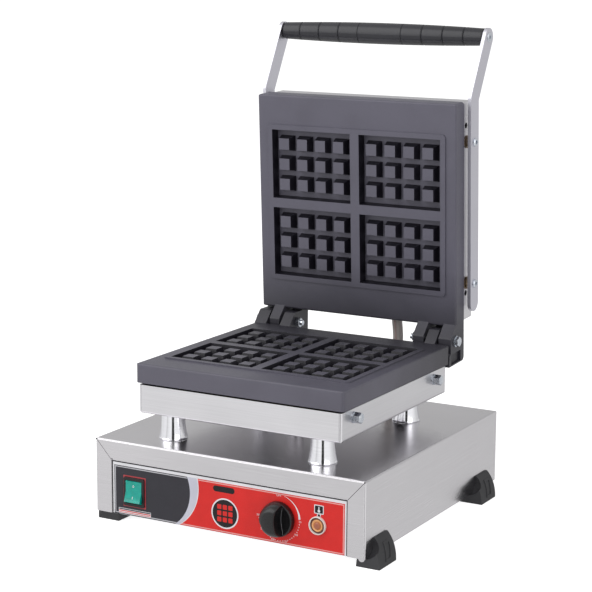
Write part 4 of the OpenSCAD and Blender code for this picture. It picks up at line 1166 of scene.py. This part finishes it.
dark_line, red_line = side_line(dark_side), side_line(red_side)
edge_shadow = [
    (FOIL_LEFT, FOIL_LOW), (FOIL_LEFT + SIDE_EDGE, FOIL_LOW),
    (FOIL_LEFT + SIDE_EDGE, FOIL_HIGH - EDGE), (FOIL_RIGHT - SIDE_EDGE, FOIL_HIGH - EDGE),
    (FOIL_RIGHT - SIDE_EDGE, FOIL_LOW), (FOIL_RIGHT, FOIL_LOW),
    (FOIL_RIGHT, FOIL_HIGH), (FOIL_LEFT, FOIL_HIGH),
]
dark_field = [(FIELD_LEFT, FIELD_LOW), *dark_line, (FIELD_LEFT, FIELD_HIGH)]
red_field = [(FIELD_RIGHT, FIELD_LOW), (FIELD_RIGHT, FIELD_HIGH), *red_line[::-1]]
crescent = [*dark_line, *side_line(red_side, -CRESCENT_RIM)[::-1]]
print_all((
    ("edge", [edge_shadow], "black_ink"),
    ("dark_field", [dark_field, switch_hole], "dark_ink"),
    ("red_field", [red_field, circle(7, centre=KNOB), circle(7, centre=LAMP)], "red_ink"),
    ("crescent", [crescent], "lavender_ink"),
), layer=1)
crescent_wide = float(red_side(FIELD_HIGH) - dark_side(FIELD_HIGH))
print("crescent is", round(crescent_wide, 1), "mm wide at its top")

# %% [markdown]
# ## Lines round the fields
#
# A thin line runs along three sides of each field, and a red one round the switch. A line with
# a width is an outline too: there along its outer side and back along its inner side.

# %% Lines round the fields
LINE_IN = 0.85
LINE_WIDTH = 1.0
LINE_GAP = 0.4


def c_line(side, edge, toward):
    """A line along the top, the outer edge and the bottom of a field, which ends at the
    crescent. toward is 1 where the crescent lies to the right of the edge, and -1 to the left."""
    line = []
    for inset, order in ((LINE_IN, 1), (LINE_IN + LINE_WIDTH, -1)):
        low, high = FIELD_LOW + inset, FIELD_HIGH - inset
        end = edge + toward * inset
        gap = LINE_GAP * toward
        line += [(side(low) - gap, low), (end, low), (end, high), (side(high) - gap, high)][::order]
    return line


switch_frame = (SWITCH[0] - 14.1, SWITCH[1] - 16.8, SWITCH[0] + 14.1, SWITCH[1] + 17.2)
print_all((
    ("grey_line", [c_line(dark_side, FIELD_LEFT, 1)], "grey_line_ink"),
    ("pink_line", [c_line(red_side, FIELD_RIGHT, -1)], "pink_line_ink"),
    ("switch_frame", [box_outline(*switch_frame), box_outline(*switch_frame, inset=1.4)],
     "switch_line_ink"),
), layer=2)
print("lines are", LINE_WIDTH, "mm wide")

# %% [markdown]
# ## Badge, bar, strip and sign
#
# Between switch and knob is a badge: a round one with a small grid, the pattern of a waffle.
# Below the switch is a striped strip, above the badge a plain black bar, and above the lamp the
# sign of a thermometer. Each is a small stack of plates: a rim, a field on it, and the figure.

# %% Badge, bar, strip and thermometer
BADGE, BADGE_R = (-1.0, 21.2), 16.2
SQUARE, SQUARE_PITCH = 5.0, 6.7
STRIP = (-132.6, 1.7, -92.0, 7.3)
SIGN = (LAMP[0] - 4.4, LAMP[1] + 11.9, LAMP[0] + 6.4, LAMP[1] + 21.2)


def strip_line(low, high):
    """A stripe of the strip between two heights."""
    return box_outline(STRIP[0] + 0.5, low, STRIP[2] - 0.5, high)


badge_field = circle(BADGE_R - 1.5, centre=BADGE)
steps = SQUARE_PITCH * np.array([-1, 0, 1])
squares = [
    box_outline(x - SQUARE / 2, z - SQUARE / 2, x + SQUARE / 2, z + SQUARE / 2, radius=0.8)
    for x in BADGE[0] + steps for z in BADGE[1] + steps
]
middle, foot, top = (SIGN[0] + SIGN[2]) / 2, SIGN[1], SIGN[3]
bulb = circle(1.5, 40, (middle, foot + 3.0), start=112, sweep=316)
stem = [(middle + 0.56, top - 2.0), (middle - 0.56, top - 2.0)]
stalk_rim = box_outline(middle - 2.2, foot - 2.4, middle + 2.2, foot + 0.4)
stalk = box_outline(middle - 1.3, foot - 2.4, middle + 1.3, foot - 0.3)
print_all((
    ("badge_rim", [circle(BADGE_R, centre=BADGE), badge_field], "white_ink"),
    ("badge_field", [badge_field], "black_ink"),
    ("badge_grid", squares, "red_ink", 3),
    ("bar", [box_outline(-15.2, 43.4, 10.6, 49.6, radius=3.05)], "black_ink"),
    ("strip", [box_outline(*STRIP)], "white_ink", 3),
    ("strip_dark", [strip_line(5.6, 6.8)], "dark_ink", 4),
    ("strip_red", [strip_line(4.0, 5.0), strip_line(2.4, 3.0)], "red_ink", 4),
    ("sign_rim", [box_outline(*SIGN, radius=0.9)], "white_ink", 3),
    ("sign_stalk_rim", [stalk_rim], "white_ink"),
    ("sign_stalk", [stalk], "black_ink", 3),
    ("sign_field", [box_outline(*SIGN, radius=0.6, inset=0.9)], "black_ink", 4),
    ("thermometer", [[*bulb, *stem]], "white_ink", 5),
), layer=2)
print("badge, bar, strip and sign printed")

# %% [markdown]
# ## The dial round the knob
#
# The knob points at a printed scale. It starts at OFF, at the top, and a line that grows
# thicker leads clockwise to 50 degrees. From there to 300 a dot stands at every ten degrees of
# heat and a figure at every fifty. The scale is even, so one line of arithmetic places them
# all: 250 degrees of heat take half a turn.

# %% Dial
DIAL_R = 23.6
FIRST_HEAT, LAST_HEAT = 50, 300
HEAT_SWEEP = 180.0


def on_dial(angles, out=0.0):
    """Points of the dial, at angles anticlockwise from three o'clock, in degrees, and a little
    out from its circle."""
    angles = np.radians(angles)
    spokes = np.stack([np.cos(angles), np.sin(angles)], axis=-1)
    return KNOB + (DIAL_R + np.asarray(out))[..., None] * spokes


heats = np.arange(FIRST_HEAT, LAST_HEAT + 1, 10)
heat_angles = -HEAT_SWEEP * (heats - FIRST_HEAT) / (LAST_HEAT - FIRST_HEAT)
is_figure = heats % 50 == 0
dots = [circle(0.5, 16, place) for place in on_dial(heat_angles[~is_figure])]
print_all([("dial_dots", dots, "white_ink")], layer=2)
for heat, place in zip(heats[is_figure], on_dial(heat_angles[is_figure], 0.6)):
    figures(f"print_dial_{heat}", str(heat), 2.0, place)
figures("print_dial_off", "OFF", 2.3, on_dial(91, 0.4))

sweep = np.linspace(76, 6, 48)
width = np.interp(np.linspace(0, 1, 48), [0, 0.5, 1], [0.25, 1.0, 2.4])
dial_line = [*on_dial(sweep, 1.3), *on_dial(sweep, 1.3 - width)[::-1]]
print_all([("dial_line", [dial_line], "white_ink")], layer=2)
print(len(heats), "steps on the dial, from", heats[0], "to", heats[-1])

# %% [markdown]
# ## Seams of the folded front
#
# The front is folded from one sheet, and its corners are mitred: a hairline runs from each
# upper corner of the base to the opening's corner. A small relief hole at the outer end keeps
# the fold from tearing.

# %% Mitre seams
FRONT = Plane(at(0, 0, 0))
SEAM = 0.45
SEAM_THICK = 0.02
RELIEF_HOLE_R = 0.9
CORNER = (BASE_W / 2 - 1.2, BASE_H - 1.2)
for side, sign, opening in (("left", -1, FOIL_LEFT - 0.8), ("right", 1, FOIL_RIGHT + 0.8)):
    outer = np.array([sign * CORNER[0], CORNER[1]])
    inner = np.array([opening, FOIL_HIGH + 0.6])
    along = (inner - outer) / np.linalg.norm(inner - outer)
    half = SEAM / 2 * np.array([-along[1], along[0]])
    seam = [outer - half, inner - half, inner + half, outer + half]
    printed("seam_" + side, [seam], "black_ink", FRONT, thick=SEAM_THICK)
    relief_hole = circle(RELIEF_HOLE_R, 24, outer)
    printed("relief_hole_" + side, [relief_hole], "black_ink", FRONT, thick=SEAM_THICK)
print("two mitre seams of", SEAM, "mm")

# %% [markdown]
# ## Two small tabs
#
# Where the sheet of the base is folded at the front corners, the end of the fold peeks out
# below the edge as a small rounded tab. Each is a half ellipse, cut from sheet.

# %% Tabs under the front corners
TAB_SHEET = 0.8
TAB_PLANE = Plane(at(0, 1.8, 0))
TABS = {"tab_right": (156.6, 3.5, 3.2), "tab_left": (-151.0, 2.6, 2.2)}
for name, (middle, half_wide, deep) in TABS.items():
    lower_half = circle(1, 24, start=180, sweep=180) * (half_wide, deep) + (middle, 0.2)
    printed(name, [lower_half], "brushed_steel", TAB_PLANE, thick=TAB_SHEET)
print(len(TABS), "tabs")

# %% [markdown]
# ## The marks on the rocker
#
# The rocker carries 0 and I, moulded in and filled with white. Its two faces lean by different
# angles, since the switch rests on its OFF side. Each face is a plane of its own: the rocker's
# tilt gives its direction, and its pivot gives its place.

# %% Rocker marks
ROCKER_TILT = math.radians(10)
ROCKER_PIVOT = at(SWITCH[0], FOIL_FACE + 1, SWITCH[1])
FACE_MIDDLE = 3.43
MARK_UP = 6.2


def rocker_plane(lean, along):
    """A face that leans back by an angle from upright, through the rocker's middle line, at a
    distance up the face."""
    up = np.array([0, math.sin(lean), math.cos(lean)])
    line = FACE_MIDDLE * np.array([0, -math.cos(ROCKER_TILT), math.sin(ROCKER_TILT)])
    return Plane(ROCKER_PIVOT + MM * (line + along * up), up=up)


nought = [circle(1.0) * (1, 1.35), circle(0.55) * (1, 1.55)]
stroke = [box_outline(-0.35, -1.35, 0.35, 1.35)]
off_plane, on_plane = rocker_plane(0, MARK_UP), rocker_plane(2 * ROCKER_TILT, -MARK_UP)
printed("rocker_mark_off", nought, "white_ink", off_plane, 1, "rocker")
printed("rocker_mark_on", stroke, "white_ink", on_plane, 1, "rocker")
print("rocker marks ride on the rocker")

# %% [markdown]
# ## The sleeve over the lid's wires
#
# Behind the castings a sleeve carries the wires from the base into the lid. It leaves its gland
# straight upwards, swings back behind the hinge and enters the cover's rear wall, and it bends
# when the lid moves. A few points mark its way. The sleeve is woven from glass thread, so its
# finish is rough, with fine threads. Across its width it carries painted light: a warm sheen
# along the middle, a lighter band beside it, and painted shade at its two sides.

# %% Sleeve
SLEEVE_R = 6.0
SLEEVE_X = 33


def sleeve_finish(name, pale, warm_sheen):
    """Braided glass sleeve: threads a third of a millimetre wide, and painted light across its
    width: a warm sheen along the middle, a lighter band beside it, and painted shade at the sides."""
    finish = Finish(name, pale, 0.62)
    side = finish.from_axis(at(SLEEVE_X, 0, 0) * (1, 0, 0), SLEEVE_R * MM, across=(1, 0, 0))
    thread = finish.noise(2600, 2, 0.6)
    share = finish.math("ADD", side, finish.math("MULTIPLY", thread, 0.22))
    lighter, darker, gap = shade(pale, 1.15), shade(pale, 0.6), shade(pale, 0.55)
    # Painted light across the width: a warm sheen in the middle, a lighter band, and painted shade
    # at the sides.
    painted_light_across = finish.ramp(share, (0.16, warm_sheen), (0.36, pale), (0.62, lighter), (0.95, darker))
    threads = finish.ramp(thread, (0.3, gap), (0.7, pale))
    finish.feed("Base Color", finish.mix(0.3, painted_light_across, threads))
    finish.paint("Roughness", thread, (0.3, 0.5), (0.7, 0.75))
    finish.bump(thread, 1.5e-4, 0.6)


sleeve_finish("woven_sleeve", colour_of(196, 188, 184), colour_of(186, 150, 146))
SLEEVE_POINTS = np.array([
    (SLEEVE_X, y, z) for y, z in (
        (304, 38), (304, 60), (304, 80), (304, 94), (307, 108), (314, 121), (322, 133),
        (327, 146), (326, 159), (323.6, 171), (322.7, 182), (322.7, 188),
    )
])
print("the sleeve's route has", len(SLEEVE_POINTS), "points")

# %% [markdown]
# ## A fluted tube along the route
#
# The smooth line gives a place and a direction at every step. At each step a ring is laid
# square to the line, and a small wave in its radius makes the flutes. The finished sleeve
# replaces the drawn tube.

# %% Tube along the route
def smooth_line(points, steps):
    """A line whose slope at each point is set by the point's neighbours: through points p0..p3
    the middle span is half of 2 p1 + (p2 - p0) t + (2 p0 - 5 p1 + 4 p2 - p3) t^2
    + (3 p1 - 3 p2 + p3 - p0) t^3, for t from 0 to 1."""
    padded = np.concatenate([points[:1], points, points[-1:]])
    a, b, c, d = (padded[k:len(points) - 1 + k, None] for k in range(4))
    t = (np.arange(steps) / steps)[None, :, None]
    bend, twist = 2 * a - 5 * b + 4 * c - d, 3 * b - 3 * c + d - a
    spans = 0.5 * (2 * b + (c - a) * t + bend * t**2 + twist * t**3)
    return np.concatenate([spans.reshape(-1, 3), points[-1:]])


def fluted_tube(line, radius, flutes=14, depth=0.25, around=112):
    """Rings square to a line in a plane x = const: a spoke is cos * x + sin * (x cross the
    line's direction), and its length is the radius less a small cosine wave for each flute."""
    direction = np.gradient(line, axis=0)
    direction /= np.linalg.norm(direction, axis=1, keepdims=True)
    right = np.array([1.0, 0, 0])
    sideways = np.cross(right, direction)[:, None]
    waves = np.cos(2 * math.pi * flutes * np.arange(around) / around)
    reach = radius - depth * (0.5 + 0.5 * waves)[:, None]
    cosine, sine = circle(1, around).T[:, :, None]
    return line[:, None] + reach * (cosine * right + sine * sideways)


sleeve_line = smooth_line(SLEEVE_POINTS, 8)
sleeve_rings = at(0, 0, 0) + MM * fluted_tube(sleeve_line, SLEEVE_R)
sleeve = show("lid_wire_sleeve", ring_skin("lid_wire_sleeve", sleeve_rings), "woven_sleeve", 50)
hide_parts("conduit")
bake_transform(sleeve)

# %% [markdown]
# ## The room
#
# A catalogue picture has no visible room: paper white runs under and behind the machine. Making
# it so with strong lamps would bleach the steel. Instead the world checks what kind of ray asks.
# Rays from the camera or through glass get plain white. Rays that carry light get an even grey,
# so the machine is lit gently. Rays from a mirror see a studio: light walls in soft bands, and a
# dark one where the camera and its crew stand. Those bands give the polished posts their
# stripes, and mirrors look past the floor to them.

# %% What each ray sees
ROOM_LIGHT = 0.5
ROOM_TONES = (
    (-180, 0.85), (-135, 0.95), (-126, 0.92), (-116, 0.7), (-108, 0.88), (-90, 1.0), (-73, 1.0),
    (-70, 0.04), (-52, 0.04), (-49, 1.0), (-6, 1.0), (44, 0.62), (61, 0.8), (75, 0.62),
    (105, 0.52), (119, 0.58), (132, 0.62), (150, 0.8), (180, 0.85),
)


def white_to_lenses(tree):
    """A value that is 1 for camera, glossy and transmission rays, and 0 for the others."""
    rays = add_node(tree, "LightPath").outputs
    bent = arithmetic(tree, "MAXIMUM", rays["Is Camera Ray"], rays["Is Glossy Ray"])
    return arithmetic(tree, "MAXIMUM", bent, rays["Is Transmission Ray"])


def room_tone(tree):
    """The room's tone by compass direction: the angle atan2(y, x), mapped from -180..180 degrees
    to 0..1, picks it."""
    direction = add_node(tree, "TexCoord").outputs["Generated"]
    parts = add_node(tree, "SeparateXYZ", _0=direction).outputs
    angle = arithmetic(tree, "ARCTAN2", parts["Y"], parts["X"])
    share = arithmetic(tree, "ADD", arithmetic(tree, "DIVIDE", angle, 2 * math.pi), 0.5)
    stops = [(degrees / 360 + 0.5, tone) for degrees, tone in ROOM_TONES]
    return tone_ramp(tree, share, stops)


def set_world():
    """Strength = (ROOM_LIGHT for light, 1 for lenses) * (1 - mirror * (1 - the room's tone)),
    where mirror is 1 for the rays from a mirror."""
    world = bpy.data.worlds.new("paper white")
    bpy.context.scene.world = world
    world.use_nodes = True
    tree = world.node_tree
    limits = {"To Min": ROOM_LIGHT, "To Max": 1.0}
    strength = add_node(tree, "MapRange", Value=white_to_lenses(tree), **limits).outputs["Result"]
    mirror = add_node(tree, "LightPath").outputs["Is Glossy Ray"]
    lost = arithmetic(tree, "SUBTRACT", 1.0, room_tone(tree))
    kept = arithmetic(tree, "SUBTRACT", 1.0, arithmetic(tree, "MULTIPLY", mirror, lost))
    background = tree.nodes["Background"]
    background.inputs["Color"].default_value = (1, 1, 1, 1)
    total = arithmetic(tree, "MULTIPLY", strength, kept)
    tree.links.new(total, background.inputs["Strength"])


set_world()
print("mirrors see tones from", min(tone for _, tone in ROOM_TONES), "to 1.0")

# %% [markdown]
# ## The floor and two lamps
#
# The floor shows white to the camera by a glow, and as a real surface it takes the soft shadows
# under the feet. Two large lamps, one from the front left and a weak one from the right, give
# the castings and the bolts their form.

# %% Floor and lamps
FLOOR_GLOW = 0.72
FLOOR_HALF = 30.0
AIM = (0, 0, 0.2)
LAMPS = {"key": ((-1.7, -2.3, 2.2), 3.6, 62), "fill": ((2.4, -1.2, 1.4), 2.2, 16)}


def add_floor():
    """A large plane at the feet: a diffuse surface that takes shadows, plus a glow that only
    lenses see. Mirrors don't see the floor."""
    half = FLOOR_HALF
    mesh = bpy.data.meshes.new("floor")
    corners = [(-half, -half, 0), (half, -half, 0), (half, half, 0), (-half, half, 0)]
    mesh.from_pydata(corners, [], [(0, 1, 2, 3)])
    floor = put("floor", mesh)
    finish = Finish("floor_paper", (0.8, 0.8, 0.8, 1), 0.9, Specular_IOR_Level=0)
    tree = finish.tree
    strength = finish.math("MULTIPLY", white_to_lenses(tree), FLOOR_GLOW)
    glow = finish.node("Emission", Strength=strength)
    both = finish.node("AddShader", _0=finish.surface.outputs[0], _1=glow)
    tree.links.new(both, tree.nodes["Material Output"].inputs["Surface"])
    dress(floor, "floor_paper")
    floor.visible_glossy = False


def add_lamp(name, place, size, watts):
    """A square soft lamp that faces the machine; the camera doesn't see it."""
    data = bpy.data.lights.new(name, "AREA")
    data.size = size
    data.energy = watts
    lamp = put(name, data)
    lamp.location = place
    lamp.rotation_euler = (Vector(AIM) - Vector(place)).to_track_quat("-Z", "Y").to_euler()
    lamp.visible_camera = False


add_floor()
for name, settings in LAMPS.items():
    add_lamp(name, *settings)
bpy.context.scene.view_settings.view_transform = "Standard"
print("room light", ROOM_LIGHT, "and floor glow", FLOOR_GLOW)
